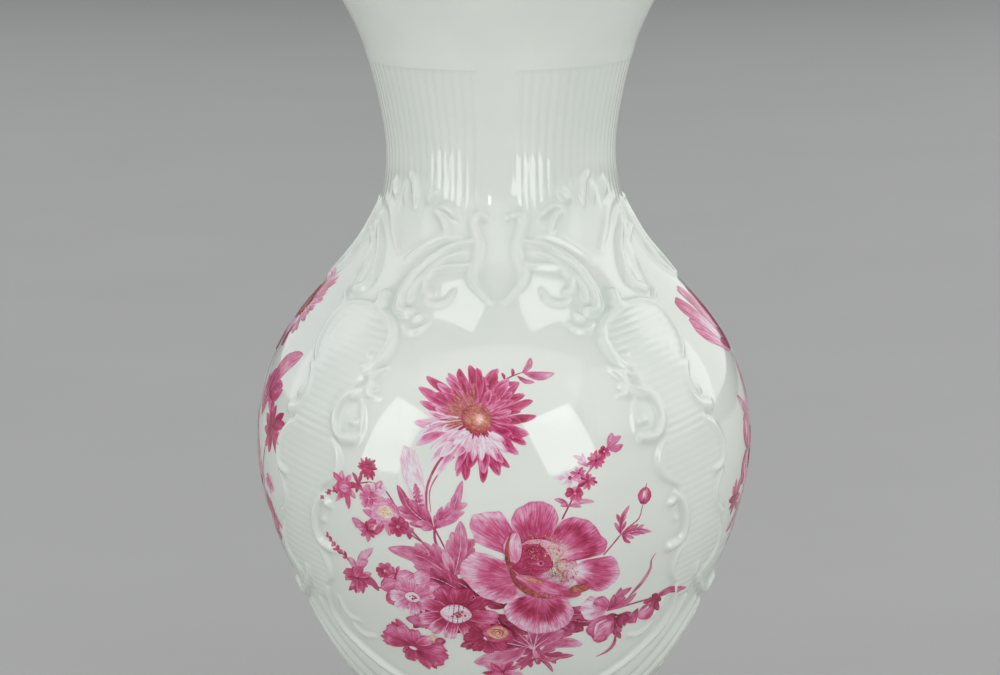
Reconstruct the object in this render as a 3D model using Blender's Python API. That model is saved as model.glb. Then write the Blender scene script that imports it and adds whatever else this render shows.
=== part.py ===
"""Porcelain vase: a baluster body with a ribbed neck, a flared lip and a spreading foot.

The vase is built the way a potter assembles it. Five turned sections stack from foot to lip and meet
in lap joints that leave room for the luting slip, and the rococo ornament is a set of thin pressed
sprigs that follow the body's surface. The vase stands on the world origin, +Z is up, and its front
faces -Y. An azimuth is counted from the front, and grows towards +X.
"""

import math

import bpy
import numpy as np

MM = 0.001

# Driving dimensions
HEIGHT = 150.0 * MM
WAIST_HEIGHT = 11.0 * MM
BELLY_HEIGHT = 65.0 * MM
NECK_HEIGHT = 113.0 * MM
LIP_HEIGHT = 132.5 * MM
FOOT_RADIUS = 22.4 * MM
WAIST_RADIUS = 16.8 * MM
BELLY_RADIUS = 43.7 * MM
NECK_RADIUS = 20.2 * MM
MOUTH_RADIUS = 31.4 * MM
WALL = 3.0 * MM
FLOOR_TOP = 16.0 * MM

# Outer outline from waist to mouth, as (height, radius)
OUTLINE = [
    (WAIST_HEIGHT, WAIST_RADIUS),
    (16.0 * MM, 19.8 * MM),
    (24.0 * MM, 26.8 * MM),
    (34.0 * MM, 33.2 * MM),
    (44.0 * MM, 38.5 * MM),
    (54.0 * MM, 42.1 * MM),
    (BELLY_HEIGHT, BELLY_RADIUS),
    (75.0 * MM, 42.6 * MM),
    (84.0 * MM, 38.9 * MM),
    (92.0 * MM, 32.6 * MM),
    (100.0 * MM, 25.4 * MM),
    (107.0 * MM, 21.8 * MM),
    (115.0 * MM, NECK_RADIUS),
    (126.0 * MM, 21.4 * MM),
    (138.0 * MM, 24.9 * MM),
    (HEIGHT, MOUTH_RADIUS),
]

# Foot
FOOT_EDGE_HEIGHT = 2.2 * MM
FOOT_CHAMFER = 0.5 * MM
FOOT_SWEEP = 2.1
FOOT_RING_WIDTH = 4.4 * MM
FOOT_BORE_RADIUS = 12.6 * MM

# Lap joints between sections
SLIP_GAP = 0.3 * MM
LAP = 2.4 * MM
BOSS_RADIUS = FOOT_BORE_RADIUS - SLIP_GAP
BOSS_DEPTH = 2.0 * MM

# Lip
LIP_STEP = 0.35 * MM
LIP_EDGE_RADIUS = 1.1 * MM

# Sprigged ornament
SPRIG_THICKNESS = 0.9 * MM
SPRIG_EDGE = 0.3 * MM
QUARTERS = [("front", 0.0), ("right", 90.0), ("back", 180.0), ("left", 270.0)]
SIDE_STRETCH = 1.22

SEGMENTS = 48
SECTION_STEP = 4.0 * MM


def spline_slopes(points):
    """Second derivatives of a cubic spline through the outline: upright at its foot, free at its top."""
    z, r = np.array(points).T
    step = np.diff(z)
    count = len(z)
    system = np.zeros((count, count))
    right = np.zeros(count)
    system[0, 0], system[0, 1] = 2 * step[0], step[0]
    right[0] = 6 * (r[1] - r[0]) / step[0]
    system[-1, -1] = 1
    for i in range(1, count - 1):
        system[i, i - 1 : i + 2] = step[i - 1], 2 * (step[i - 1] + step[i]), step[i]
        right[i] = 6 * ((r[i + 1] - r[i]) / step[i] - (r[i] - r[i - 1]) / step[i - 1])
    return np.linalg.solve(system, right)


BENDS = spline_slopes(OUTLINE)


def outer_radius(z):
    """Radius of the vase's outer surface at a height."""
    if z < WAIST_HEIGHT:
        rise = max(0.0, (z - FOOT_EDGE_HEIGHT) / (WAIST_HEIGHT - FOOT_EDGE_HEIGHT))
        return WAIST_RADIUS + (FOOT_RADIUS - WAIST_RADIUS) * (1 - rise) ** FOOT_SWEEP
    upper = next(i for i, (top, _) in enumerate(OUTLINE) if z <= top + 1e-9 and i > 0)
    (z0, r0), (z1, r1) = OUTLINE[upper - 1], OUTLINE[upper]
    span, below, above = z1 - z0, z - z0, z1 - z
    m0, m1 = BENDS[upper - 1], BENDS[upper]
    cubic = (m0 * above**3 + m1 * below**3) / (6 * span)
    return cubic + (r0 / span - m0 * span / 6) * above + (r1 / span - m1 * span / 6) * below


def surface_point(azimuth, z, lift):
    """Point above the outer surface, lifted along the surface's normal."""
    reach = 0.2 * MM
    lean = (outer_radius(z + reach) - outer_radius(z - reach)) / (2 * reach)
    length = math.hypot(1, lean)
    radius = outer_radius(z) + lift / length
    angle = math.radians(azimuth)
    return radius * math.sin(angle), -radius * math.cos(angle), z - lift * lean / length


def porcelain(name, color, roughness):
    """Glazed porcelain in one shade."""
    material = bpy.data.materials.new(name)
    material.use_nodes = True
    shader = material.node_tree.nodes["Principled BSDF"]
    shader.inputs["Base Color"].default_value = (*color, 1)
    shader.inputs["Roughness"].default_value = roughness
    shader.inputs["Metallic"].default_value = 0
    material.diffuse_color = (*color, 1)
    return material


def link(name, mesh, material):
    """Adds a mesh to the scene under its sub-part's name."""
    mesh.materials.append(material)
    made = bpy.data.objects.new(name, mesh)
    bpy.context.scene.collection.objects.link(made)
    return made


def heights(low, high, step=SECTION_STEP):
    """Even heights from low to high, both ends included."""
    count = max(1, round((high - low) / step))
    return [low + (high - low) * i / count for i in range(count + 1)]


def turned(name, profile, color, closed=True):
    """A section turned about the vase's axis. Its profile runs down the outer side and up the bore."""
    mesh = bpy.data.meshes.new(name)
    count = len(profile)
    edges = [(i, i + 1) for i in range(count - 1)] + ([(count - 1, 0)] if closed else [])
    mesh.from_pydata([(r, 0, z) for r, z in profile], edges, [])
    made = link(name, mesh, porcelain(name + "_glaze", color, 0.08))
    screw = made.modifiers.new("turning", "SCREW")
    screw.steps = screw.render_steps = SEGMENTS
    screw.use_merge_vertices = True
    screw.merge_threshold = 0.05 * MM
    screw.use_smooth_shade = True
    return made


def outer_side(top, bottom):
    """Outer profile points from top to bottom."""
    return [(outer_radius(z), z) for z in reversed(heights(bottom, top))]


def bore_side(bottom, top):
    """Bore profile points from bottom to top, one wall inside the outer surface."""
    return [(outer_radius(z) - WALL, z) for z in heights(bottom, top)]


def socket(z):
    """Top of a section: the outer half of its wall stands up round the next section's spigot."""
    middle = outer_radius(z) - WALL / 2 + SLIP_GAP / 2
    ledge = z - LAP - SLIP_GAP / 2
    return [(outer_radius(ledge) - WALL, ledge), (middle, ledge), (middle, z - SLIP_GAP / 2)]


def spigot(z):
    """Bottom of a section: the inner half of its wall reaches down into the section below."""
    middle = outer_radius(z) - WALL / 2 - SLIP_GAP / 2
    tip = z - LAP + SLIP_GAP / 2
    return [(middle, z + SLIP_GAP / 2), (middle, tip), (outer_radius(tip) - WALL, tip)]


def foot():
    """Spreading foot, hollow underneath, with a flat ring to stand on."""
    joint = WAIST_HEIGHT - SLIP_GAP / 2
    outer = [(outer_radius(z), z) for z in reversed(heights(FOOT_EDGE_HEIGHT, joint, 2 * MM))]
    outer += [(FOOT_RADIUS, FOOT_CHAMFER), (FOOT_RADIUS - FOOT_CHAMFER, 0)]
    ring_inside = FOOT_RADIUS - FOOT_CHAMFER - FOOT_RING_WIDTH
    under = [(ring_inside, 0), (ring_inside - 1.6 * MM, 3.4 * MM), (FOOT_BORE_RADIUS, 6.2 * MM)]
    turned("foot", outer + under + [(FOOT_BORE_RADIUS, joint)], (0.93, 0.95, 0.94))


def lower_body():
    """Bowl of the body, from its boss in the foot up to the belly's widest line."""
    joint = WAIST_HEIGHT + SLIP_GAP / 2
    inside = [(0, FLOOR_TOP), (8 * MM, FLOOR_TOP + 0.6 * MM)]
    top = socket(BELLY_HEIGHT)
    inside += bore_side(FLOOR_TOP + 4.5 * MM, top[0][1])[:-1]
    outer = outer_side(BELLY_HEIGHT - SLIP_GAP / 2, joint)
    boss = [(BOSS_RADIUS, joint), (BOSS_RADIUS, joint - BOSS_DEPTH), (0, joint - BOSS_DEPTH)]
    turned("lower_body", inside + top + outer + boss, (0.93, 0.95, 0.94), closed=False)


def upper_section(name, bottom, top, color):
    """A section with a spigot below and a socket above."""
    outer = outer_side(top - SLIP_GAP / 2, bottom + SLIP_GAP / 2)
    below, above = spigot(bottom), socket(top)
    bore = bore_side(below[-1][1], above[0][1])[1:-1]
    turned(name, outer + below + bore + above, color)


def lip():
    """Plain flared lip, a fine step proud of the ribbed neck, with a rounded edge."""
    edge_z = HEIGHT - LIP_EDGE_RADIUS
    outer = outer_side(edge_z, LIP_HEIGHT + SLIP_GAP / 2)
    outer[-1] = (outer[-1][0] + LIP_STEP, outer[-1][1])
    below = spigot(LIP_HEIGHT)
    bore = bore_side(below[-1][1], edge_z)[1:]
    rim = outer_radius(edge_z) - LIP_EDGE_RADIUS
    crown = [
        (rim - 0.9 * MM + LIP_EDGE_RADIUS * math.cos(turn), edge_z + LIP_EDGE_RADIUS * math.sin(turn))
        for turn in np.radians([140, 90, 40])
    ]
    turned("lip", outer + below + bore + crown, (0.94, 0.955, 0.945))


def sprig(name, rows, color=(0.95, 0.965, 0.955)):
    """A thin closed sprig that follows the surface, from rows of (azimuth, height, thickness)."""
    length, width = len(rows), len(rows[0])
    under = [surface_point(a, z, SLIP_GAP) for row in rows for a, z, _ in row]
    over = [surface_point(a, z, SLIP_GAP + thick) for row in rows for a, z, thick in row]
    total = length * width
    faces = []
    for i in range(length - 1):
        for j in range(width - 1):
            a, b, c, d = i * width + j, i * width + j + 1, (i + 1) * width + j + 1, (i + 1) * width + j
            faces += [(d, c, b, a), (a + total, b + total, c + total, d + total)]
    rim = [j for j in range(width)] + [i * width + width - 1 for i in range(1, length)]
    rim += [(length - 1) * width + j for j in range(width - 2, -1, -1)]
    rim += [i * width for i in range(length - 2, 0, -1)]
    for a, b in zip(rim, rim[1:] + rim[:1]):
        faces.append((a, b, b + total, a + total))
    mesh = bpy.data.meshes.new(name)
    mesh.from_pydata(under + over, [], faces)
    mesh.shade_smooth()
    mesh.set_sharp_from_angle(angle=math.radians(40))
    if mesh_volume(under + over, faces) < 0:
        mesh.flip_normals()
    link(name, mesh, porcelain(name + "_glaze", color, 0.1))


def mesh_volume(points, faces):
    """Signed volume, positive where the faces point out."""
    points = np.array(points)
    total = 0.0
    for face in faces:
        for i in range(1, len(face) - 1):
            total += np.dot(points[face[0]], np.cross(points[face[i]], points[face[i + 1]]))
    return total / 6


def smooth_path(controls, count):
    """Evenly spaced points on a Catmull-Rom curve through hand-set (azimuth, height) controls."""
    ends = [2 * controls[0] - controls[1]], [2 * controls[-1] - controls[-2]]
    knots = np.concatenate([ends[0], controls, ends[1]])
    points = []
    for place in np.linspace(0, len(controls) - 1, count):
        i = min(int(place), len(controls) - 2)
        t = place - i
        p0, p1, p2, p3 = knots[i : i + 4]
        bend = (2 * p0 - 5 * p1 + 4 * p2 - p3) * t**2 + (3 * p1 - p0 - 3 * p2 + p3) * t**3
        points.append(p1 + 0.5 * ((p2 - p0) * t + bend))
    return np.array(points)


def stroke_rows(controls, half_width, count, fullness):
    """Rows across a raised stroke: thickest on its crest, and narrowed to both ends."""
    path = smooth_path(np.array(controls, float), count)
    rows = []
    for i, (azimuth, z) in enumerate(path):
        ahead = path[min(i + 1, count - 1)] - path[max(i - 1, 0)]
        degree = outer_radius(z) * math.pi / 180
        along = np.array([ahead[0] * degree, ahead[1]])
        across = np.array([-along[1], along[0]]) / np.hypot(*along)
        share = math.sin(math.pi * (i + 0.6) / (count + 0.2)) ** fullness
        row = []
        for side in (-1, 0, 1):
            shift = across * half_width * share * side
            thick = SPRIG_THICKNESS * (0.55 + 0.45 * share) if side == 0 else SPRIG_EDGE
            row.append((azimuth + shift[0] / degree, z + shift[1], thick))
        rows.append(row)
    return rows


def placed(controls, centre, mirror, stretch=1.0):
    """Controls given from a reserve's centre line, set at its azimuth, on one side of it."""
    return [(centre + mirror * azimuth * stretch, z * MM) for azimuth, z in controls]


def shoulder_sprigs():
    """Each reserve has a mirrored pair of scrolls, spurs and leaves round its top."""
    scroll = [(12, 102.4), (21.5, 101), (28.5, 98), (30.5, 94.8), (28, 92.2)]
    spur = [(8.5, 106.6), (7.2, 103.2), (9.2, 99.2), (8.2, 96.6), (2.6, 94.2)]
    leaf = [(17.5, 104.8), (24, 107.2), (33, 110.2), (45, 113)]
    for quarter, centre in QUARTERS:
        stretch = SIDE_STRETCH if centre % 180 else 1.0
        for side, mirror in (("west", -1), ("east", 1)):
            where = f"{quarter}_{side}"
            for kind, controls, width in (
                ("scroll", scroll, 1.5 * MM),
                ("spur", spur, 1.0 * MM),
                ("leaf", leaf, 1.2 * MM),
            ):
                reach = min(stretch, 44 / controls[-1][0]) if kind == "leaf" else stretch
                reach = min(reach, 42.5 / max(azimuth for azimuth, _ in controls))
                rows = stroke_rows(placed(controls, centre, mirror, reach), width, 8, 0.7)
                sprig(f"shoulder_{kind}_{where}", rows)


def bands():
    """Ribbed rocaille band between each pair of reserves, with a bead over it."""
    edges = [
        (91.5, 38, 47),
        (88.5, 29, 54.5),
        (84, 27.5, 55),
        (80, 31.5, 50.5),
        (76, 39.5, 54),
        (71, 37.8, 58),
        (66, 37.5, 62),
        (61, 44, 60.5),
        (56, 47, 64),
        (51, 47.5, 62.5),
        (46, 48.5, 61.5),
    ]
    for centre, facing in ((0, "front"), (180, "back")):
        for mirror in (-1, 1):
            side = "right" if mirror * (1 if centre == 0 else -1) > 0 else "left"
            rows = []
            for z, near, far in smooth_path(np.array(edges, float), 19):
                row = []
                for share in (0, 0.2, 0.5, 0.8, 1):
                    azimuth = centre + mirror * (near + (far - near) * share)
                    row.append((azimuth, z * MM, SPRIG_THICKNESS if 0 < share < 1 else SPRIG_EDGE))
                rows.append(row)
            sprig(f"rocaille_band_{facing}_{side}", rows)
            bead = [(centre + mirror * azimuth, z * MM) for azimuth, z in ((40, 95.6), (40, 92.9))]
            sprig(f"bead_{facing}_{side}", stroke_rows(bead, 1.3 * MM, 5, 0.5))
            scroll = [(53, 43.5), (58, 39.8), (60, 35), (55, 30), (51, 24.5), (40, 19), (18, 16.5), (5, 18.5)]
            rows = stroke_rows(placed(scroll, centre, mirror), 1.5 * MM, 18, 0.35)
            sprig(f"base_scroll_{facing}_{side}", rows)


def side_shells():
    """Shell that closes the foot of each side reserve."""
    for centre, side in ((90, "right"), (270, "left")):
        rows = []
        for z, half in ((38.5, 11), (34, 21), (29, 23), (24, 17), (19.5, 10)):
            row = []
            for share in (-1, -0.6, 0, 0.6, 1):
                lobe = 2.2 * MM * (1 - share * share)
                row.append(
                    (centre + half * share, z * MM - lobe, SPRIG_THICKNESS if abs(share) < 1 else SPRIG_EDGE)
                )
            rows.append(row)
        sprig(f"base_shell_{side}", rows)


def main():
    for old in list(bpy.data.objects):
        bpy.data.objects.remove(old)
    foot()
    lower_body()
    upper_section("upper_body", BELLY_HEIGHT, NECK_HEIGHT, (0.935, 0.955, 0.945))
    upper_section("neck", NECK_HEIGHT, LIP_HEIGHT, (0.92, 0.945, 0.935))
    lip()
    shoulder_sprigs()
    bands()
    side_shells()


main()
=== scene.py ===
"""Looks of the porcelain vase: glazed sections, rococo relief and enamel flowers, in a plain studio."""

import math

import bpy
import numpy as np
from mathutils import Matrix, Vector


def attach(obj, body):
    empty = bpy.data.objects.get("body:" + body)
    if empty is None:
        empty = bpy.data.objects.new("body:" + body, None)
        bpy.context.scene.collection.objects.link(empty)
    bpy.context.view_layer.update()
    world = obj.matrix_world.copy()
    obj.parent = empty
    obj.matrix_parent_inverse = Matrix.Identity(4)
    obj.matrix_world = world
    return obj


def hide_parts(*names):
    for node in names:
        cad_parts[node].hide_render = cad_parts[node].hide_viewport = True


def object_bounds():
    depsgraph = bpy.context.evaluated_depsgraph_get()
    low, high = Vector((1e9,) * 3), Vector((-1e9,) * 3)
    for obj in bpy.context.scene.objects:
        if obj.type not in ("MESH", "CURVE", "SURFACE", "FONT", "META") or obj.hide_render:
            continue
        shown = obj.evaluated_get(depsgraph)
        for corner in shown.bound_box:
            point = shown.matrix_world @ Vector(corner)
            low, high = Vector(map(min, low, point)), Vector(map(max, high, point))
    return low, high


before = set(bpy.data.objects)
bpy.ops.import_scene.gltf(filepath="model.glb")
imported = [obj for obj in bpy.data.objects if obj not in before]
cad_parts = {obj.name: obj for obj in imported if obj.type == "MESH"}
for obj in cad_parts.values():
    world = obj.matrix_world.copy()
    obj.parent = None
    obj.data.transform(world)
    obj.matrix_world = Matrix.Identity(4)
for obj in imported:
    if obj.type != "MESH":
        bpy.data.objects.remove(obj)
cad_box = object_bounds()

MM = 0.001

# ---------------------------------------------------------------- outline of the vase
HEIGHT = cad_box[1][2]
WAIST_HEIGHT = 11.0 * MM
WAIST_RADIUS = 16.8 * MM
FOOT_RADIUS = 22.4 * MM
FOOT_EDGE_HEIGHT = 2.2 * MM
FOOT_SWEEP = 2.1
BELLY_HEIGHT = 65.0 * MM
NECK_HEIGHT = 113.0 * MM
LIP_HEIGHT = 133.3 * MM  # where the ribs end, a little above the CAD's joint
WALL = 3.0 * MM
FLOOR_TOP = 16.0 * MM

# Outer outline from waist to mouth, as (height, radius), the same as the CAD's
OUTLINE = [
    (WAIST_HEIGHT, WAIST_RADIUS),
    (16.0 * MM, 19.8 * MM),
    (24.0 * MM, 26.8 * MM),
    (34.0 * MM, 33.2 * MM),
    (44.0 * MM, 38.5 * MM),
    (54.0 * MM, 42.1 * MM),
    (BELLY_HEIGHT, 43.7 * MM),
    (75.0 * MM, 42.6 * MM),
    (84.0 * MM, 38.9 * MM),
    (92.0 * MM, 32.6 * MM),
    (100.0 * MM, 25.4 * MM),
    (107.0 * MM, 21.8 * MM),
    (115.0 * MM, 20.2 * MM),
    (126.0 * MM, 21.4 * MM),
    (138.0 * MM, 24.9 * MM),
    (HEIGHT, 31.4 * MM),
]


def spline_bends(points):
    """Second derivatives of a cubic spline through the outline: upright at its foot, free at its top."""
    z, r = np.array(points).T
    step, count = np.diff(z), len(z)
    system, right = np.zeros((count, count)), np.zeros(count)
    system[0, 0], system[0, 1], system[-1, -1] = 2 * step[0], step[0], 1
    right[0] = 6 * (r[1] - r[0]) / step[0]
    for i in range(1, count - 1):
        system[i, i - 1 : i + 2] = step[i - 1], 2 * (step[i - 1] + step[i]), step[i]
        right[i] = 6 * ((r[i + 1] - r[i]) / step[i] - (r[i] - r[i - 1]) / step[i - 1])
    return z, r, np.linalg.solve(system, right)


OUTLINE_Z, OUTLINE_R, BENDS = spline_bends(OUTLINE)


def radius(z):
    """Radius of the vase's outer surface at each height."""
    z = np.asarray(z, float)
    i = np.clip(np.searchsorted(OUTLINE_Z, z) - 1, 0, len(OUTLINE_Z) - 2)
    span, below, above = OUTLINE_Z[i + 1] - OUTLINE_Z[i], z - OUTLINE_Z[i], OUTLINE_Z[i + 1] - z
    cubic = (BENDS[i] * above**3 + BENDS[i + 1] * below**3) / (6 * span)
    body = cubic + (OUTLINE_R[i] / span - BENDS[i] * span / 6) * above
    body += (OUTLINE_R[i + 1] / span - BENDS[i + 1] * span / 6) * below
    rise = np.clip((z - FOOT_EDGE_HEIGHT) / (WAIST_HEIGHT - FOOT_EDGE_HEIGHT), 0, 1)
    foot = WAIST_RADIUS + (FOOT_RADIUS - WAIST_RADIUS) * (1 - rise) ** FOOT_SWEEP
    return np.where(z < WAIST_HEIGHT, foot, body)


def lean(z):
    """Slope of the outline, in radius gained per height."""
    reach = 0.05 * MM
    return (radius(z + reach) - radius(z - reach)) / (2 * reach)


# Length along the outline, so that ornament and painting keep their size where the wall slopes
TRACK_Z = np.linspace(0, HEIGHT, 6001)
TRACK = np.concatenate([[0], np.cumsum(np.hypot(np.diff(TRACK_Z), np.diff(radius(TRACK_Z))))])
TRACK -= np.interp(BELLY_HEIGHT, TRACK_Z, TRACK)


def track(z):
    """Length along the outline from the belly line up to a height."""
    return np.interp(z, TRACK_Z, TRACK)


def track_height(length):
    """Height at a length along the outline from the belly line."""
    return np.interp(length, TRACK, TRACK_Z)


def surface(azimuth, z, lift):
    """Points above the outer surface, lifted along its normal. Azimuth is in degrees from the front."""
    slope = lean(z)
    long = np.hypot(1, slope)
    r = radius(z) + lift / long
    angle = np.radians(azimuth)
    return np.stack([r * np.sin(angle), -r * np.cos(angle), z - lift * slope / long + 0 * angle], -1)


# ---------------------------------------------------------------- mesh helpers
SHARP_ANGLE = math.radians(50)


def make_mesh(name, points, quads, triangles=(), normals=None, smooth_quads=0):
    """A mesh object. The first smooth_quads quads take the given vertex normals."""
    mesh = bpy.data.meshes.new(name)
    quads = np.asarray(quads, np.int32).reshape(-1, 4)
    triangles = np.asarray(triangles, np.int32).reshape(-1, 3)
    corners = np.concatenate([quads.ravel(), triangles.ravel()])
    starts = np.concatenate([np.arange(len(quads)) * 4, quads.size + np.arange(len(triangles)) * 3])
    mesh.vertices.add(len(points))
    mesh.vertices.foreach_set("co", np.asarray(points, np.float32).ravel())
    mesh.loops.add(len(corners))
    mesh.loops.foreach_set("vertex_index", corners.astype(np.int32))
    mesh.polygons.add(len(starts))
    mesh.polygons.foreach_set("loop_start", starts.astype(np.int32))
    mesh.update(calc_edges=True)
    mesh.shade_smooth()
    mesh.set_sharp_from_angle(angle=SHARP_ANGLE)
    if normals is not None:
        held = np.zeros(len(corners) * 3, np.float32)
        mesh.corner_normals.foreach_get("vector", held)
        held = held.reshape(-1, 3)
        count = smooth_quads * 4
        held[:count] = np.asarray(normals, np.float32)[corners[:count]]
        mesh.normals_split_custom_set(held)
    made = bpy.data.objects.new(name, mesh)
    bpy.context.scene.collection.objects.link(made)
    return made


def grid_quads(rows, columns, wrap=False, first=0):
    """Quads of a grid whose rows go up and whose columns go round towards +X from the front."""
    i, j = np.meshgrid(np.arange(rows - 1), np.arange(columns if wrap else columns - 1), indexing="ij")
    k = (j + 1) % columns
    corners = [i * columns + j, i * columns + k, (i + 1) * columns + k, (i + 1) * columns + j]
    return np.stack(corners, -1).reshape(-1, 4) + first


def grid_normals(points):
    """Outward normals of a grid of surface points, from its own slopes."""
    up = np.gradient(points, axis=0)
    round_ = np.gradient(points, axis=1)
    normal = np.cross(round_, up)
    return normal / np.linalg.norm(normal, axis=-1, keepdims=True)


def piece(made, material, replaced=()):
    """Gives a piece its material, its body and the CAD nodes that it stands for."""
    made.data.materials.append(material)
    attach(made, "root")
    if replaced:
        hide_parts(*replaced)
    return made


# ---------------------------------------------------------------- materials
class Nodes:
    """Short hand for building a material's node tree."""

    def __init__(self, name):
        self.material = bpy.data.materials.new(name)
        self.material.use_nodes = True
        self.tree = self.material.node_tree
        self.shader = self.tree.nodes["Principled BSDF"]

    def add(self, kind, inputs=(), **settings):
        """A node with its settings and its inputs, which are values or other nodes' sockets."""
        node = self.tree.nodes.new(kind)
        for key, value in settings.items():
            setattr(node, key, value)
        for key, value in dict(inputs).items():
            self.feed(node, key, value)
        return node

    def feed(self, node, key, value):
        socket = node.inputs[key]
        if isinstance(value, bpy.types.NodeSocket):
            self.tree.links.new(value, socket)
        else:
            socket.default_value = value

    def noise(self, vector, scale, detail=2.0, roughness=0.5):
        inputs = {"Vector": vector, "Scale": scale, "Detail": detail, "Roughness": roughness}
        return self.add("ShaderNodeTexNoise", inputs).outputs["Fac"]

    def ramp(self, value, stops):
        node = self.add("ShaderNodeValToRGB", {"Fac": value})
        elements = node.color_ramp.elements
        while len(elements) < len(stops):
            elements.new(0.5)
        for element, (place, color) in zip(elements, stops):
            element.position = place
            element.color = (*color, 1) if len(color) == 3 else color
        return node.outputs["Color"]

    def span(self, value, low, high, to_low=0.0, to_high=1.0):
        inputs = {0: value, 1: low, 2: high, 3: to_low, 4: to_high}
        return self.add("ShaderNodeMapRange", inputs, interpolation_type="SMOOTHSTEP").outputs[0]

    def math(self, operation, a, b=0.0):
        return self.add("ShaderNodeMath", {0: a, 1: b}, operation=operation).outputs[0]

    def mix(self, factor, a, b, blend="MIX"):
        node = self.add("ShaderNodeMix", data_type="RGBA", blend_type=blend)
        self.feed(node, 0, factor)
        self.feed(node, 6, a)
        self.feed(node, 7, b)
        return node.outputs[2]

    def scaled(self, vector, scales):
        return self.add("ShaderNodeVectorMath", {0: vector, 1: scales}, operation="MULTIPLY").outputs[0]

    def attribute(self, name):
        return self.add("ShaderNodeAttribute", attribute_name=name, attribute_type="GEOMETRY")


# Glaze over porcelain, and the unglazed biscuit of the ring that the vase stands on
PORCELAIN_WHITE = (0.81, 0.845, 0.785, 1)
PORCELAIN_COOL = (0.76, 0.81, 0.755, 1)
# Darker tint for the hollows: partly pooled glaze, partly painted shade
POOL_SHADE_TINT = (0.66, 0.735, 0.675, 1)
BISCUIT = (0.70, 0.67, 0.61, 1)
BISCUIT_ROUGHNESS = 0.7
BARE_RING = (0.25 * MM, 0.45 * MM)
TINT_SCALE, GLOSS_SCALE, RIPPLE_SCALE = 45.0, 140.0, 220.0
GLAZE_GLOSS = (0.045, 0.085)
GLAZE_IOR = 1.52
COAT_WEIGHT, COAT_ROUGHNESS = 0.45, 0.03
RIPPLE_STRENGTH, RIPPLE_HEIGHT = 0.12, 0.03 * MM


def porcelain(name):
    """White glazed porcelain: a faint drift of tint, a darker tint in the relief's hollows for pooled glaze
    and painted shade, a softly uneven gloss, and the bare ring that the vase stands on."""
    n = Nodes(name)
    place = n.add("ShaderNodeNewGeometry").outputs["Position"]
    drift = n.noise(place, TINT_SCALE, 3)
    white = n.mix(n.span(drift, 0.35, 0.7), PORCELAIN_WHITE, PORCELAIN_COOL)
    # Painted shade: hollows, grooves and the line under the lip darken towards the pool tint, which also
    # stands for pooled glaze
    pooled = n.mix(n.attribute("pooled_glaze_shade").outputs["Fac"], white, POOL_SHADE_TINT)
    height = n.add("ShaderNodeSeparateXYZ", {0: place}).outputs["Z"]
    bare = n.span(height, *BARE_RING, 1, 0)
    n.feed(n.shader, "Base Color", n.mix(bare, pooled, BISCUIT))
    gloss = n.span(n.noise(place, GLOSS_SCALE, 2), 0.3, 0.75, *GLAZE_GLOSS)
    rough = n.add("ShaderNodeMix", {0: bare, 2: gloss, 3: BISCUIT_ROUGHNESS}, data_type="FLOAT")
    n.feed(n.shader, "Roughness", rough.outputs[0])
    n.shader.inputs["IOR"].default_value = GLAZE_IOR
    n.shader.inputs["Coat Weight"].default_value = COAT_WEIGHT
    n.shader.inputs["Coat Roughness"].default_value = COAT_ROUGHNESS
    ripple = n.noise(place, RIPPLE_SCALE, 2)
    bump = n.add("ShaderNodeBump", {"Height": ripple, "Strength": RIPPLE_STRENGTH, "Distance": RIPPLE_HEIGHT})
    n.feed(n.shader, "Normal", bump.outputs["Normal"])
    return n.material


# ---------------------------------------------------------------- turned sections
COLUMNS = 360
NECK_COLUMNS = 1200
OUTER_STEP = 0.5 * MM
FOOT_STEP = 0.3 * MM
BORE_STEP = 1.5 * MM

# Foot: the ring it stands on, its rounded edges, and the hollow under it
FOOT_EDGE = 0.7 * MM
FOOT_FIRST_ROWS = (0.9 * MM, 1.4 * MM)
RING_WIDTH = 4.9 * MM
RING_EDGE = 0.6 * MM
RING_SLOPES = ((0.9 * MM, 2.6 * MM), (2.2 * MM, 4.8 * MM))
HOLLOW_RADIUS, HOLLOW_TOP = 12.6 * MM, 6.4 * MM

# Lower body: the rounded floor inside as (radius, height), and the boss that sits in the foot
BOWL_TOP = 22.0 * MM
BOWL = [(15.5 * MM, 20.2 * MM), (13.0 * MM, 17.8 * MM), (9.0 * MM, 16.4 * MM), (4.0 * MM, FLOOR_TOP),
        (0, FLOOR_TOP)]
BOSS_RADIUS, BOSS_FOOT = 12.3 * MM, 9.0 * MM

# Neck: ribs with painted shade in their grooves, the plain strips in front and behind as degrees from their
# middle, and the lip over them with a painted shadow line under it
RIBS = 80
RIB_DEPTH = 0.07 * MM
RIB_FOOT = 106.0 * MM
RIB_FULL = 110.0 * MM
# Painted shade in the grooves, also standing for glaze pooled there
RIB_GROOVE_SHADE = 0.26
PLAIN_SPAN = (7.0, 9.5)
LIP_EDGE = 1.25 * MM
LIP_STEP = 0.16 * MM
LIP_BLEND = 3.0 * MM
# Painted shadow line under the lip, where the ribs end
SHADOW_LINE_SPAN = (0.1 * MM, 1.3 * MM)
LIP_SHADOW = 0.42


def steps(low, high, step):
    """Even steps between two values, close to the size asked for."""
    return np.linspace(low, high, max(2, int(round(abs(high - low) / step)) + 1))


def ease(value, low, high):
    """Smooth rise from 0 at low to 1 at high."""
    share = np.clip((value - low) / (high - low), 0, 1)
    return share * share * (3 - 2 * share)


def beside_plain(azimuth):
    """0 on the plain strips in front and behind, and 1 on the ribbed neck beside them."""
    return ease(np.abs((azimuth + 90) % 180 - 90), *PLAIN_SPAN)


def grooves(azimuth):
    """Depth of the fine reeding's grooves round the neck, from 0 on a crest to 1."""
    return (1 - np.abs(np.cos(np.radians(azimuth) * RIBS / 2))) * beside_plain(azimuth)


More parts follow.
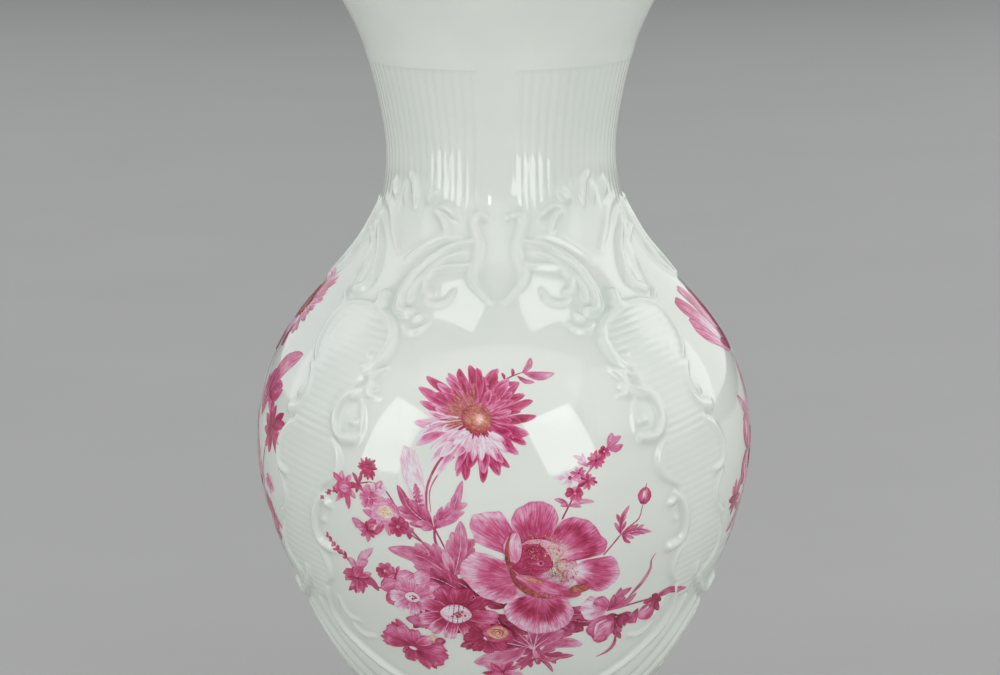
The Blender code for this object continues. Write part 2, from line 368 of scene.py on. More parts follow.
def ribs(azimuth, z):
    """Lift of the neck's reeding, which fades out on the shoulder."""
    return RIB_DEPTH * (1 - grooves(azimuth)) * ease(z, RIB_FOOT, RIB_FULL)


def neck_shade_tint(azimuth, z):
    """Darker tint in the grooves for pooled glaze and painted shade, and a painted shadow line under the lip
    where they end.
    """
    shadow_line = LIP_SHADOW * (1 - ease(LIP_HEIGHT - z, *SHADOW_LINE_SPAN)) * beside_plain(azimuth)
    return np.maximum(RIB_GROOVE_SHADE * grooves(azimuth) * ease(z, RIB_FOOT, RIB_FULL), shadow_line)


def lip_step(azimuth, z):
    """The lip starts a step above the ribs' crests, and eases back to the outline."""
    start = RIB_DEPTH + (LIP_STEP - RIB_DEPTH) * beside_plain(azimuth)
    return start * (1 - ease(z, LIP_HEIGHT, LIP_HEIGHT + LIP_BLEND))


def store_pool_shade(made, shares):
    """Stores at each vertex how deep the porcelain's darker tint goes, which paints pooled glaze and shade
    into the hollows.
    """
    pooled = made.data.attributes.new("pooled_glaze_shade", "FLOAT", "POINT")
    pooled.data.foreach_set("value", np.asarray(shares, np.float32))


def section(name, outer_z, rest, columns, material, lift=None, pool=None):
    """A turned section. Its outer rows follow the outline upwards, and rest is the profile that runs from
    the top one over the rim, down the bore and under to the first. A radius of 0 is a pole on the axis."""
    azimuth = np.arange(columns) * 360 / columns
    a, z = np.meshgrid(azimuth, outer_z)
    outer = surface(a, z, lift(a, z) if lift else 0 * a)
    padded = np.concatenate([outer[:, -1:], outer, outer[:, :1]], 1)
    normals = grid_normals(padded)[:, 1:-1].reshape(-1, 3)
    unit = np.stack([np.sin(np.radians(azimuth)), -np.cos(np.radians(azimuth)), 0 * azimuth], -1)
    points = [outer.reshape(-1, 3)]
    rows = [(i * columns, columns) for i in range(len(outer_z))]
    total = len(points[0])
    for r, high in rest:
        points.append(unit * r + (0, 0, high) if r else np.array([[0, 0, high]]))
        rows.append((total, len(points[-1])))
        total += len(points[-1])
    j = np.arange(columns)
    k = (j + 1) % columns
    quads, triangles = [], []
    for (low, low_size), (high, high_size) in zip(rows, rows[1:] + rows[:1]):
        if low_size == high_size == columns:
            quads.append(np.stack([low + j, low + k, high + k, high + j], -1))
        elif low_size == columns:
            triangles.append(np.stack([low + j, low + k, high + 0 * j], -1))
        elif high_size == columns:
            triangles.append(np.stack([low + 0 * j, high + k, high + j], -1))
    points = np.concatenate(points)
    normals = np.concatenate([normals, np.zeros((total - len(normals), 3))])
    triangles = np.concatenate(triangles) if triangles else ()
    smooth = (len(outer_z) - 1) * columns
    made = make_mesh(name + "_shell", points, np.concatenate(quads), triangles, normals, smooth)
    # Painted shade and pooled glaze tint on the outer rows
    if pool:
        shares = np.zeros(len(points))
        shares[: outer[..., 0].size] = pool(a, z).ravel()
        store_pool_shade(made, shares)
    return piece(made, material, [name])


def bore(high, low):
    """Bore profile from high to low, one wall inside the outline."""
    return [(float(radius(z)) - WALL, z) for z in steps(high, low, BORE_STEP)]


def arc(centre, size, start, end, count):
    """Points of a round edge in the profile."""
    turns = np.radians(np.linspace(start, end, count))
    return [(centre[0] + size * math.cos(t), centre[1] + size * math.sin(t)) for t in turns]


def sections(material):
    """The five sections of the vase, from foot to lip."""
    ring = FOOT_RADIUS - RING_WIDTH
    under = arc((ring + RING_EDGE, RING_EDGE), RING_EDGE, -90, -180, 6)
    under += [(ring - inset, z) for inset, z in RING_SLOPES] + [(HOLLOW_RADIUS, HOLLOW_TOP)]
    edge = arc((FOOT_RADIUS - FOOT_EDGE, FOOT_EDGE), FOOT_EDGE, 0, -90, 8)
    first, second = FOOT_FIRST_ROWS
    rows = np.concatenate([[first], steps(second, WAIST_HEIGHT, FOOT_STEP)])
    rest = [(HOLLOW_RADIUS, WAIST_HEIGHT)] + under[::-1] + edge[::-1]
    section("foot", rows, rest, COLUMNS, material)
    boss = [(0, BOSS_FOOT), (BOSS_RADIUS, BOSS_FOOT), (BOSS_RADIUS, WAIST_HEIGHT)]
    rest = bore(BELLY_HEIGHT, BOWL_TOP) + BOWL + boss
    section("lower_body", steps(WAIST_HEIGHT, BELLY_HEIGHT, OUTER_STEP), rest, COLUMNS, material)
    rest = bore(NECK_HEIGHT, BELLY_HEIGHT)
    section("upper_body", steps(BELLY_HEIGHT, NECK_HEIGHT, OUTER_STEP), rest, COLUMNS, material)
    rest = bore(LIP_HEIGHT, NECK_HEIGHT)
    section("neck", steps(NECK_HEIGHT, LIP_HEIGHT, OUTER_STEP), rest, NECK_COLUMNS, material, ribs, neck_shade_tint)
    edge = HEIGHT - LIP_EDGE
    rim = arc((float(radius(edge)) - LIP_EDGE, edge), LIP_EDGE, 10, 170, 12)
    rest = rim + bore(edge - BORE_STEP, LIP_HEIGHT)
    section("lip", steps(LIP_HEIGHT, edge, OUTER_STEP), rest, COLUMNS, material, lip_step)



# ---------------------------------------------------------------- relief
# The four quarters of the vase mirror each other, so the relief is worked out once, from the front
# reserve's centre line (0 degrees) to the side reserve's (90). Strokes are (path, half width in mm,
# height in mm, width share at the start, width share at the end), and a path is (azimuth, height in mm).
QUARTER_STEP = 0.3
ROW_STEP = 0.24 * MM
RELIEF_LOW = 13.5 * MM
RELIEF_HIGH = 117.0 * MM
PATH_STEP = 0.14 * MM
STROKE_SPREAD = 1.16
TAPER_IN, TAPER_OUT = 0.35, 0.65
LEAST_LIFT = 0.55
BAND_RISE = 0.34 * MM
GLAZE_BLUR = 0.31 * MM
# Painted shade in the relief's hollows, also standing for pooled glaze: how wide the surroundings are that a
# hollow is measured against
SHADE_POOL_BLUR = 0.8 * MM
BLUR_PAD = 60
BLUR_REACH = 58
# How deep a hollow must be to take the full painted shade
SHADE_POOL_DEPTH = 0.30 * MM
RIB_COVER = 0.3 * MM
GROOVE_COVER = 0.25 * MM

SHOULDER = [
    # spur beside the centre line: a beak above, an S down to the reserve's top
    ([(5.5, 107.6), (9.0, 108.0), (11.1, 106.8), (9.8, 104.9), (8.0, 103.2), (7.8, 101.4), (8.4, 99.8),
      (9.3, 98.4), (8.0, 96.8), (5.4, 95.6), (2.4, 94.2)], 0.78, 0.78, 0.9, 0.5),
    # great C with a second crest inside it, and the finer C below
    ([(11.5, 103.5), (18.5, 102.9), (25.0, 101.2), (30.7, 98.9), (33.0, 96.3), (33.0, 94.1), (31.3, 92.4),
      (28.0, 92.1)], 0.78, 1.0, 0.45, 1.1),
    ([(13.0, 101.8), (18.5, 101.2), (24.5, 99.7), (28.6, 97.5), (30.2, 95.4), (29.6, 93.8)],
     0.55, 0.75, 0.5, 0.7),
    ([(9.0, 100.2), (13.0, 99.6), (18.0, 99.4), (23.4, 99.0), (26.4, 97.7), (25.8, 95.9), (23.2, 95.1)],
     0.58, 0.75, 0.6, 0.9),
    ([(23.6, 94.2), (20.0, 93.6), (16.4, 94.2), (15.0, 95.8)], 0.48, 0.5, 0.7, 0.5),
    # soft ridge over the great C
    ([(16.5, 104.0), (24.0, 104.1), (30.6, 102.9), (35.5, 101.4), (38.6, 100.1)], 0.62, 0.50, 0.5, 1.2),
    # leaf lobes climbing towards the neck
    ([(18.8, 107.2), (22.4, 108.4), (26.2, 109.0), (29.8, 108.8)], 0.72, 0.85, 0.4, 0.5),
    ([(30.6, 108.0), (27.0, 107.2), (24.4, 105.6), (22.2, 103.9)], 0.55, 0.65, 0.6, 0.5),
    ([(32.6, 111.1), (35.4, 109.8)], 0.80, 0.85, 0.9, 0.6),
    # bead and crescent under the great C's tip
    ([(24.2, 91.6), (24.8, 91.3)], 0.62, 0.7, 1, 1),
    ([(20.8, 90.5), (23.0, 89.5), (26.0, 89.3), (28.4, 90.1)], 0.58, 0.65, 0.4, 0.5),
]

SIDE_SHOULDER = [
    ([(84.5, 107.6), (81.0, 108.0), (78.9, 106.8), (80.2, 104.9), (82.0, 103.2), (82.2, 101.4), (81.6, 99.8),
      (80.7, 98.4), (82.0, 96.8), (84.6, 95.6), (87.6, 94.2)], 0.75, 1.0, 0.5, 0.6),
    # great C, the scalloped edge of the reserve beside it, and the ground between them
    ([(72.0, 106.6), (66.4, 104.6), (58.8, 101.9), (54.6, 99.6), (51.9, 97.4), (51.4, 95.4), (54.8, 94.4)],
     0.72, 0.95, 0.4, 1.5),
    ([(79.0, 103.4), (72.0, 102.6), (65.4, 101.5), (63.8, 99.3), (62.3, 97.7), (60.0, 95.8), (60.3, 94.1),
      (57.2, 92.8)], 0.60, 0.70, 0.5, 0.7),
    ([(74.0, 104.6), (66.0, 103.0), (60.6, 100.6), (57.6, 98.4), (56.4, 96.4)], 1.7, 0.52, 0.4, 0.7),
    # soft ridge over the great C, and the blob over that
    ([(71.0, 109.2), (61.4, 107.7), (53.0, 104.2), (45.6, 101.3)], 0.75, 0.45, 0.6, 0.7),
    ([(62.2, 112.3), (60.0, 110.2)], 0.62, 0.75, 0.9, 0.7),
]

BAND_TOP = [
    ([(39.5, 92.9), (40.2, 94.2)], 1.20, 1.10, 1, 1),
    # pointed leaf that climbs the neck over the band
    ([(43.6, 108.6), (44.2, 111.0), (46.0, 113.0), (48.9, 113.7)], 0.70, 0.75, 0.4, 0.7),
    ([(50.6, 108.6), (51.0, 110.6), (50.6, 112.6)], 0.55, 0.45, 0.3, 0.6),
]

BAND_NEAR = [
    # top C, its bead, and the lip under it
    ([(44.0, 92.8), (40.0, 92.3), (35.2, 91.3), (31.4, 89.7), (29.8, 87.8), (30.2, 86.0), (31.6, 84.4),
      (33.6, 83.2), (35.6, 82.9)], 0.62, 0.80, 0.6, 0.8),
    ([(34.3, 84.7), (34.8, 84.7)], 0.60, 0.80, 1, 1),
    ([(28.7, 83.3), (31.0, 82.4), (32.5, 80.9), (32.4, 79.3)], 0.58, 0.75, 0.5, 1.35),
    ([(34.8, 81.8), (31.6, 82.5), (28.9, 83.1)], 0.50, 0.60, 0.5, 0.7),
    # C that bulges into the band, closed by a thin line
    ([(30.6, 80.3), (34.5, 79.7), (37.9, 78.7), (40.3, 76.8), (41.0, 74.4), (40.1, 72.4), (38.0, 71.3),
      (35.0, 71.4)], 0.65, 0.95, 0.4, 1.45),
    ([(29.4, 78.6), (33.2, 78.8), (37.0, 78.0)], 0.48, 0.55, 0.5, 0.6),
    ([(34.0, 77.8), (33.0, 74.8), (33.0, 72.2)], 0.45, 0.38, 0.6, 0.6),
    ([(34.5, 74.1), (36.0, 74.1)], 0.50, 0.60, 0.9, 0.9),
    # bow towards the reserve
    ([(41.2, 70.7), (39.6, 69.0), (39.1, 67.0), (39.8, 65.0), (42.0, 63.5), (45.4, 62.3)],
     0.58, 0.70, 0.5, 0.6),
    # lower C, its bead, and the bow under it
    ([(43.8, 60.9), (46.8, 59.0), (48.6, 56.4), (49.1, 53.8), (48.2, 51.9), (45.2, 51.0)],
     0.65, 0.90, 0.5, 1.35),
    ([(42.9, 59.1), (43.8, 59.5)], 0.70, 0.80, 0.8, 0.8),
    ([(45.2, 56.2), (45.8, 56.0)], 0.50, 0.45, 1, 1),
    ([(50.8, 51.4), (49.0, 49.8), (48.3, 47.7), (49.1, 45.7), (51.6, 43.9)], 0.58, 0.65, 0.5, 0.6),
]

BAND_FAR = [
    # top C along the side reserve, with a thin crest inside it that ends in a bead
    ([(44.0, 92.8), (50.2, 92.6), (54.5, 91.8), (56.4, 90.3), (56.5, 88.4), (55.9, 86.3), (54.6, 84.5),
      (53.4, 83.5)], 0.66, 0.85, 0.6, 0.8),
    ([(47.6, 90.6), (50.8, 89.8), (52.0, 88.0), (51.2, 86.2), (49.6, 84.9)], 0.40, 0.45, 0.4, 1.6),
    # C that bulges into the band
    ([(54.6, 82.5), (52.6, 80.8), (51.8, 78.6), (52.6, 76.7), (54.6, 75.3), (58.0, 74.7)],
     0.62, 0.80, 0.5, 1.7),
    ([(54.3, 78.2), (55.4, 77.2)], 0.60, 0.60, 0.8, 0.8),
    # great outer C
    ([(55.0, 72.8), (58.4, 71.2), (60.9, 68.8), (61.7, 66.4), (60.9, 64.3), (58.0, 63.4)],
     0.66, 0.90, 0.5, 1.1),
    # lower C, its bead, and the tail
    ([(62.0, 63.1), (60.1, 61.3), (59.2, 59.3), (60.9, 57.1), (64.4, 55.0)], 0.60, 0.80, 0.5, 1.5),
    ([(64.2, 53.8), (66.6, 51.2), (67.6, 48.6), (66.2, 46.4), (63.6, 44.6)], 0.62, 0.80, 0.5, 0.9),
    ([(58.6, 46.2), (59.4, 44.8)], 1.05, 0.75, 0.8, 1),
    ([(61.6, 44.0), (64.4, 42.2)], 0.70, 0.65, 0.7, 1),
]

BASE = [
    # rim that closes the band's foot and runs on down along the reeds, and the soft lobes inside it
    ([(52.6, 42.8), (54.8, 40.4), (55.8, 37.8), (54.4, 34.8), (50.8, 32.4), (46.6, 30.3), (42.2, 28.4),
      (36.0, 26.4), (29.0, 24.8)], 0.62, 0.95, 0.5, 0.5),
    ([(49.4, 41.2), (49.6, 39.2), (48.2, 37.6), (45.2, 37.2)], 0.52, 0.42, 0.6, 0.6),
    ([(48.6, 37.4), (48.0, 35.6), (45.4, 34.4), (41.0, 34.4)], 0.52, 0.42, 0.6, 0.6),
    # leaf that lies over the reeds under the rim
    ([(52.6, 31.2), (48.6, 29.2), (45.0, 27.2), (41.0, 24.6)], 1.25, 0.80, 0.4, 0.3),
    # scroll that closes the side reserve
    ([(63.6, 44.0), (66.6, 41.8), (71.0, 40.2), (77.0, 39.0), (83.0, 38.9), (87.0, 40.2)],
     0.70, 0.90, 0.5, 1.3),
    # scroll that ends the reeds at the waist, with a small leaf at the centre line
    ([(30.0, 20.6), (22.0, 18.6), (13.0, 18.2), (6.0, 20.0), (7.0, 22.4)], 0.70, 0.85, 0.4, 1.1),
    ([(0.0, 16.0), (0.0, 21.5)], 0.9, 0.7, 0.6, 0.3),
]

# Reeds that flow from the band's foot to the waist: the first one, and each next one's shift
REED = [(60.5, 40.0), (59.4, 36.6), (57.0, 33.2), (52.6, 29.8), (46.6, 26.6), (39.0, 23.8), (30.0, 21.0)]
REED_COUNT = 3
REED_SHIFT = (9.4, -1.6)
REED_SIZE = (1.75, 0.95, 0.35, 0.5)
REED_CLOSING = 0.35  # share by which the reeds draw together at the waist

# Shell under the side reserve: lobes that fan out from its heel
SHELL_HEEL = (90.0, 22.0)
SHELL_LOBES = 9
SHELL_REACH = 15.0
SHELL_FAN = 62.0
SHELL_SHORTER = 0.32  # how much shorter the outermost lobe is
SHELL_SQUASH = 0.86
SHELL_WALL = 31.0  # the wall's radius there in mm
SHELL_SIZE = (1.35, 0.95, 0.35, 1.0)

# Edges of the ribbed ground between the reserves, as (height in mm, near azimuth, far azimuth)
BAND_GROUND = [
    (92.6, 42, 50), (91, 34.5, 55), (88.5, 30, 56.5), (86, 30.2, 55.8), (84, 32.6, 54.2), (82, 35, 53.8),
    (79.5, 36.5, 52), (77, 40, 52.5), (74.5, 41, 55.5), (72.5, 40.2, 56), (70.5, 41, 59.4),
    (67.5, 39.2, 61.4), (65, 39.8, 61.2), (62.5, 44, 61.2), (60, 45.6, 59.4), (57.5, 47.8, 60.6),
    (54, 49, 64),
    (51, 50.4, 66.4), (48, 48.4, 67.4), (45.5, 49.3, 65), (43, 52.4, 61.5), (40, 55.4, 60.5),
]
BAND_EDGE = (0.6, 1.0)  # degrees over which the ground rises, outside and inside its edge
BAND_FADES = ((39.5 * MM, 41.5 * MM), (92 * MM, 93 * MM))
BAND_RIB_PITCH = 1.4 * MM
BAND_RIB_RISE = math.tan(math.radians(10))
BAND_RIB_DEPTH = 0.05 * MM


def with_ends(controls):
    """Controls of a curve, with one more beyond each end."""
    knots = np.array(controls, float)
    return np.vstack([2 * knots[0] - knots[1], knots, 2 * knots[-1] - knots[-2]])


def smooth_path(controls, spacing):
    """Points on a Catmull-Rom curve through (azimuth, track length) controls, at most a spacing apart."""
    knots = with_ends(controls)
    points = []
    for p0, p1, p2, p3 in zip(knots, knots[1:], knots[2:], knots[3:]):
        degree = math.radians(1) * float(radius(track_height((p1[1] + p2[1]) / 2)))
        length = math.hypot((p2[0] - p1[0]) * degree, p2[1] - p1[1])
        t = np.arange(0, 1, 1 / max(2, math.ceil(length / spacing)))[:, None]
        bend = (2 * p0 - 5 * p1 + 4 * p2 - p3) * t**2 + (3 * p1 - p0 - 3 * p2 + p3) * t**3
        points.append(p1 + 0.5 * ((p2 - p0) * t + bend))
    return np.vstack(points + [knots[-2:-1]])


class Relief:
    """Height of the relief over one quarter of the vase, on a grid of track lengths and azimuths."""

    def __init__(self):
        low, high = track(RELIEF_LOW), track(RELIEF_HIGH)
        self.track = np.linspace(low, high, int((high - low) / ROW_STEP) + 1)
        self.z = track_height(self.track)
        self.azimuth = np.arange(0, 90 + QUARTER_STEP / 2, QUARTER_STEP)
        self.degree = radius(self.z) * math.radians(1)
        self.height = np.zeros((len(self.track), len(self.azimuth)))

    def dome(self, azimuth, length, size, height):
        """Raises a round dome, and its mirror images over the quarter's two edges."""
        rows = np.flatnonzero(np.abs(self.track - length) < size)
        if not len(rows):
            return
        rows = slice(rows[0], rows[-1] + 1)
        degree = self.degree[rows][:, None]
        for centre in (azimuth, -azimuth, 180 - azimuth):
            reach = size / degree.min()
            columns = np.flatnonzero(np.abs(self.azimuth - centre) < reach)
            if not len(columns):
                continue
            columns = slice(columns[0], columns[-1] + 1)
            across = (self.azimuth[columns][None] - centre) * degree
            along = self.track[rows][:, None] - length
            share = 1 - (across**2 + along**2) / size**2
            raised = height * np.sqrt(np.clip(share, 0, 1))
            self.height[rows, columns] = np.maximum(self.height[rows, columns], raised)

    def stroke(self, path, half_width, height, start, end):
        """Raises a rounded stroke along a path, its width eased from start to full and on to end."""
        controls = [(azimuth, float(track(z * MM))) for azimuth, z in path]
        points = smooth_path(controls, PATH_STEP)
        for share, (azimuth, length) in zip(np.linspace(0, 1, len(points)), points):
            width = start + (1 - start) * ease(share, 0, TAPER_IN)
            width *= 1 + (end - 1) * ease(share, TAPER_OUT, 1)
            lift = LEAST_LIFT + (1 - LEAST_LIFT) * min(1.0, width)
            self.dome(azimuth, length, STROKE_SPREAD * half_width * width * MM, height * lift * MM)

    def over(self, azimuth, z):
        """Height of the relief at any azimuth and height on the vase."""
        folded = np.abs((np.asarray(azimuth) + 90) % 180 - 90)
        column = np.clip(folded / QUARTER_STEP, 0, len(self.azimuth) - 1.001)
        step = self.track[1] - self.track[0]
        row = np.clip((track(z) - self.track[0]) / step, 0, len(self.track) - 1.001)
        i, j = row.astype(int), column.astype(int)
        u, v = row - i, column - j
        h = self.height
        low = h[i, j] * (1 - v) + h[i, j + 1] * v
        high = h[i + 1, j] * (1 - v) + h[i + 1, j + 1] * v
        return low * (1 - u) + high * u

    def blurred(self, size):
        """The height field softened over a distance, as glaze softens the pressed clay."""
        field = np.pad(self.height, ((0, 0), (BLUR_PAD, BLUR_PAD)), mode="reflect")
        for i, degree in enumerate(self.degree):
            field[i] = np.convolve(field[i], bell(size / (degree * QUARTER_STEP)), mode="same")
        field = field[:, BLUR_PAD:-BLUR_PAD]
        kernel = bell(size / ROW_STEP)
        reach = len(kernel) // 2
        padded = np.pad(field, ((reach, reach), (0, 0)), mode="edge")
        return sum(weight * padded[k : k + len(field)] for k, weight in enumerate(kernel))


def bell(spread):
    """Gaussian weights for a spread given in cells."""
    reach = min(BLUR_REACH, max(1, int(3 * spread)))
    weights = np.exp(-0.5 * (np.arange(-reach, reach + 1) / max(spread, 1e-3)) ** 2)
    return weights / weights.sum()


def band_ground(relief):
    """Raised ground between the band's edges, and the slanting ribs on it."""
    z, near, far = np.array(BAND_GROUND, float).T
    order = np.argsort(z)
    edges = [np.interp(relief.z / MM, z[order], edge[order])[:, None] for edge in (near, far)]
    azimuth = relief.azimuth[None]
    out, into = BAND_EDGE
    inside = ease(azimuth, edges[0] - out, edges[0] + into) * ease(-azimuth, -edges[1] - out, into - edges[1])
    foot, top = BAND_FADES
    inside *= ease(relief.z, *foot)[:, None] * ease(-relief.z, -top[1], -top[0])[:, None]
    phase = relief.track[:, None] - BAND_RIB_RISE * relief.degree[:, None] * (azimuth - 45)
    wave = np.abs(np.cos(math.pi * phase / BAND_RIB_PITCH))
    return BAND_RISE * inside, BAND_RIB_DEPTH * inside * wave


def quarter_relief():
    """The whole relief of one quarter, and the darker tint in its hollows for pooled glaze and painted shade.
    """
    relief = Relief()
    for path, *shape in SHOULDER + SIDE_SHOULDER + BAND_TOP + BAND_NEAR + BAND_FAR + BASE:
        relief.stroke(path, *shape)
    for k in range(REED_COUNT):
        shift = np.array(REED_SHIFT) * k
        shares = [1 - REED_CLOSING * i / len(REED) for i in range(len(REED))]
        path = [tuple(point + shift * share) for point, share in zip(np.array(REED), shares)]
        relief.stroke(path, *REED_SIZE)
    heel_a, heel_z = SHELL_HEEL
    half = SHELL_LOBES // 2
    for i in range(half + 1):
        turn = math.radians(SHELL_FAN * i / half)
        reach = SHELL_REACH * (1 - SHELL_SHORTER * (i / half) ** 2)
        aside = math.degrees(math.sin(turn) * reach / SHELL_WALL)
        tip = (heel_a - aside, heel_z + SHELL_SQUASH * math.cos(turn) * reach)
        middle = ((heel_a + tip[0]) / 2, (heel_z + tip[1]) / 2)
        relief.stroke([SHELL_HEEL, middle, tip], *SHELL_SIZE)
    ground, grooves = band_ground(relief)
    relief.height = np.maximum(relief.height, ground)
    pattern = relief.blurred(GLAZE_BLUR)
    relief.height = pattern + grooves * ease(ground - pattern, -GROOVE_COVER, 0)
    # Painted shade where the relief lies below its blurred surroundings, also standing for pooled glaze
    pool = np.clip((relief.blurred(SHADE_POOL_BLUR) - relief.height) / SHADE_POOL_DEPTH, 0, 1)
    reeding = ribs(relief.azimuth[None], relief.z[:, None])
    bare = ease(-relief.height, -RIB_COVER, 0)
    relief.height = relief.height + reeding * bare
    relief.pool = np.maximum(pool, neck_shade_tint(relief.azimuth[None], relief.z[:, None]) * bare)
    return relief


# Pieces of relief: how far they stand over the wall and reach into it, how many front cells one back cell
# spans, and where one piece ends and the next starts
PATCH_LIFT = 0.02 * MM
PATCH_DEPTH = 0.5 * MM
BACK_STRIDE = 6
SHOULDER_FOOT = 88.0 * MM
BAND_FOOT = 46.0 * MM
BAND_SPAN = (23.1, 70.5)


def joined_loops(outer, inner):
    """Triangles between two closed loops of (vertex, place), where place runs from 0 to 1 round each."""
    triangles = []
    i = j = 0
    outer, inner = outer + [(outer[0][0], 1.0)], inner + [(inner[0][0], 1.0)]
    while i < len(outer) - 1 or j < len(inner) - 1:
        if j == len(inner) - 1 or (i < len(outer) - 1 and outer[i + 1][1] <= inner[j + 1][1] + 1e-9):
            triangles.append((outer[i + 1][0], outer[i][0], inner[j][0]))
            i += 1
        else:
            triangles.append((outer[i][0], inner[j][0], inner[j + 1][0]))
            j += 1
    return triangles


def border(rows, columns, row_places, column_places, first=0):
    """Border of a grid as (vertex, place): along the low row, up the last column, back and down."""
    low = [(j, p / 4) for j, p in enumerate(column_places)]
    right = [(i * columns + columns - 1, 0.25 + p / 4) for i, p in enumerate(row_places)]
    top = [((rows - 1) * columns + j, 0.75 - p / 4) for j, p in enumerate(column_places)][::-1]
    left = [(i * columns, 1 - p / 4) for i, p in enumerate(row_places)][::-1]
    loop = low[:-1] + right[:-1] + top[:-1] + left[:-1]
    return [(vertex + first, place) for vertex, place in loop]


def relief_patch(name, relief, rows, columns, quarter, material, replaced):
    """A closed piece of relief that follows the body, dense in front and coarse behind."""
    centre, mirror = quarter
    spin = np.array(Matrix.Rotation(math.radians(centre), 3, "Z"))
    cut = (slice(*rows), slice(*columns))

    def placed(grid):
        """The cut part of a grid of points or directions, turned to the quarter."""
        if mirror < 0:
            return ((grid * (-1, 1, 1))[cut] @ spin.T)[:, ::-1]
        return grid[cut] @ spin.T

    grid = surface(relief.azimuth[None], relief.z[:, None], relief.height + PATCH_LIFT)
    front, facing, pool = placed(grid), placed(grid_normals(grid)), relief.pool[cut][:, ::mirror]
    count_rows, count_columns = front.shape[:2]
    back_rows = sorted(set(range(0, count_rows, BACK_STRIDE)) | {count_rows - 1})
    back_columns = sorted(set(range(0, count_columns, BACK_STRIDE)) | {count_columns - 1})
    base = placed(surface(relief.azimuth[None], relief.z[:, None], 0 * relief.height - PATCH_DEPTH))
    back = base[np.ix_(back_rows, back_columns)]
    points = np.concatenate([front.reshape(-1, 3), back.reshape(-1, 3)])
    first = count_rows * count_columns
    quads = grid_quads(count_rows, count_columns)
    behind = grid_quads(len(back_rows), len(back_columns), first=first)[:, ::-1]
    row_share = np.arange(count_rows) / (count_rows - 1)
    column_share = np.arange(count_columns) / (count_columns - 1)
    outer = border(count_rows, count_columns, row_share, column_share)
    inner = border(len(back_rows), len(back_columns), row_share[back_rows], column_share[back_columns], first)
    facing = np.concatenate([facing.reshape(-1, 3), np.zeros((len(points) - first, 3))])
    quads = np.concatenate([quads, behind])
    smooth = len(quads) - len(behind)
    made = make_mesh(name, points, quads, joined_loops(outer, inner), facing, smooth)
    # Painted shade and pooled glaze tint of the relief's hollows
    store_pool_shade(made, np.concatenate([pool.ravel(), np.zeros(len(points) - first)]))
    return piece(made, material, replaced)


def relief_pieces(relief, material):
    """Relief of the four quarters: shoulder ornament, rocaille band and base ornament."""
    shoulder = int(np.searchsorted(relief.z, SHOULDER_FOOT))
    foot = int(np.searchsorted(relief.z, BAND_FOOT))
    whole = (0, len(relief.azimuth))
    band = [int(round(a / QUARTER_STEP)) for a in BAND_SPAN]
    for facing, centre in (("front", 0), ("back", 180)):
        for mirror, half, side_half in ((-1, "west", "east"), (1, "east", "west")):
            side = "right" if (mirror > 0) == (facing == "front") else "left"
            where = f"{facing}_{side}"
            edges = (f"{facing}_{half}", f"{side}_{side_half}")
            over = [f"shoulder_{kind}_{edge}" for edge in edges for kind in ("scroll", "spur", "leaf")]
            under = [f"base_scroll_{where}"] + ([f"base_shell_{side}"] if facing == "front" else [])
            for name, rows, columns, replaced in (
                ("shoulder_ornament", (shoulder - 1, len(relief.z)), whole, over + [f"bead_{where}"]),
                ("rocaille", (foot, shoulder), band, [f"rocaille_band_{where}"]),
                ("base_ornament", (0, foot + 1), whole, under),
            ):
                relief_patch(f"{name}_{where}", relief, rows, columns, (centre, mirror), material, replaced)


# ---------------------------------------------------------------- enamel painting
# Each panel is painted flat, in mm: x runs along the wall from the panel's centre line and y up the wall
# from the belly line. A brush stroke is a thin closed lens of enamel that follows the wall.
ENAMEL_LIFT = 0.024 * MM
ENAMEL_CROWN = 0.0014 * MM
LAYER_STEP = 0.0016 * MM
ENAMEL_ROOT = -0.05 * MM
PETAL_BULGE = 0.20
PETAL_OUTLINE = 0.11
PETAL_INSET = 0.04
POINT_SHARE = 0.03
STROKE_STEP = 0.75
HAIR_WIDTH = 0.055
CURVE_STEPS = 12
BOUQUET_TURN = 1.6

# Stroke shapes: where the stroke is widest, how blunt it is, and its width share at the root
NARROW = (1.15, 0.66, 0.3)
LOBED = (1.08, 0.62, 0.22)
POINTED = (0.75, 0.95, 0.12)
ROUNDED = (1.35, 0.62, 0.22)
OVAL = (1.0, 0.55, 0.05)
STEM = (0.5, 0.25, 1.0)
BLUNT = (1.25, 0.48, 0.26)


def curve(path, shares):
    """Points and unit tangents of a Catmull-Rom curve through 2-D points, at shares of its length."""
    knots = with_ends(path)
    t = np.linspace(0, 1, CURVE_STEPS, endpoint=False)[:, None]
    dense = []
    for p0, p1, p2, p3 in zip(knots, knots[1:], knots[2:], knots[3:]):
        bend = (2 * p0 - 5 * p1 + 4 * p2 - p3) * t**2 + (3 * p1 - p0 - 3 * p2 + p3) * t**3
        dense.append(p1 + 0.5 * ((p2 - p0) * t + bend))
    dense = np.vstack(dense + [knots[-2:-1]])
    run = np.concatenate([[0], np.cumsum(np.linalg.norm(np.diff(dense, axis=0), axis=1))])
    points = np.stack([np.interp(shares * run[-1], run, dense[:, k]) for k in (0, 1)], -1)
    tangents = np.gradient(points, axis=0)
    tangents /= np.linalg.norm(tangents, axis=1, keepdims=True) + 1e-12
    return points, tangents, run[-1]


def polar(centre, distance, degrees, squash=1.0, tilt=0.0):
    """A point round a centre, on an ellipse that is squashed across its tilted long axis."""
    turn = math.radians(degrees - tilt)
    x, y = distance * math.cos(turn), distance * squash * math.sin(turn)
    turn = math.radians(tilt)
    return (
        centre[0] + x * math.cos(turn) - y * math.sin(turn),
        centre[1] + x * math.sin(turn) + y * math.cos(turn),
    )


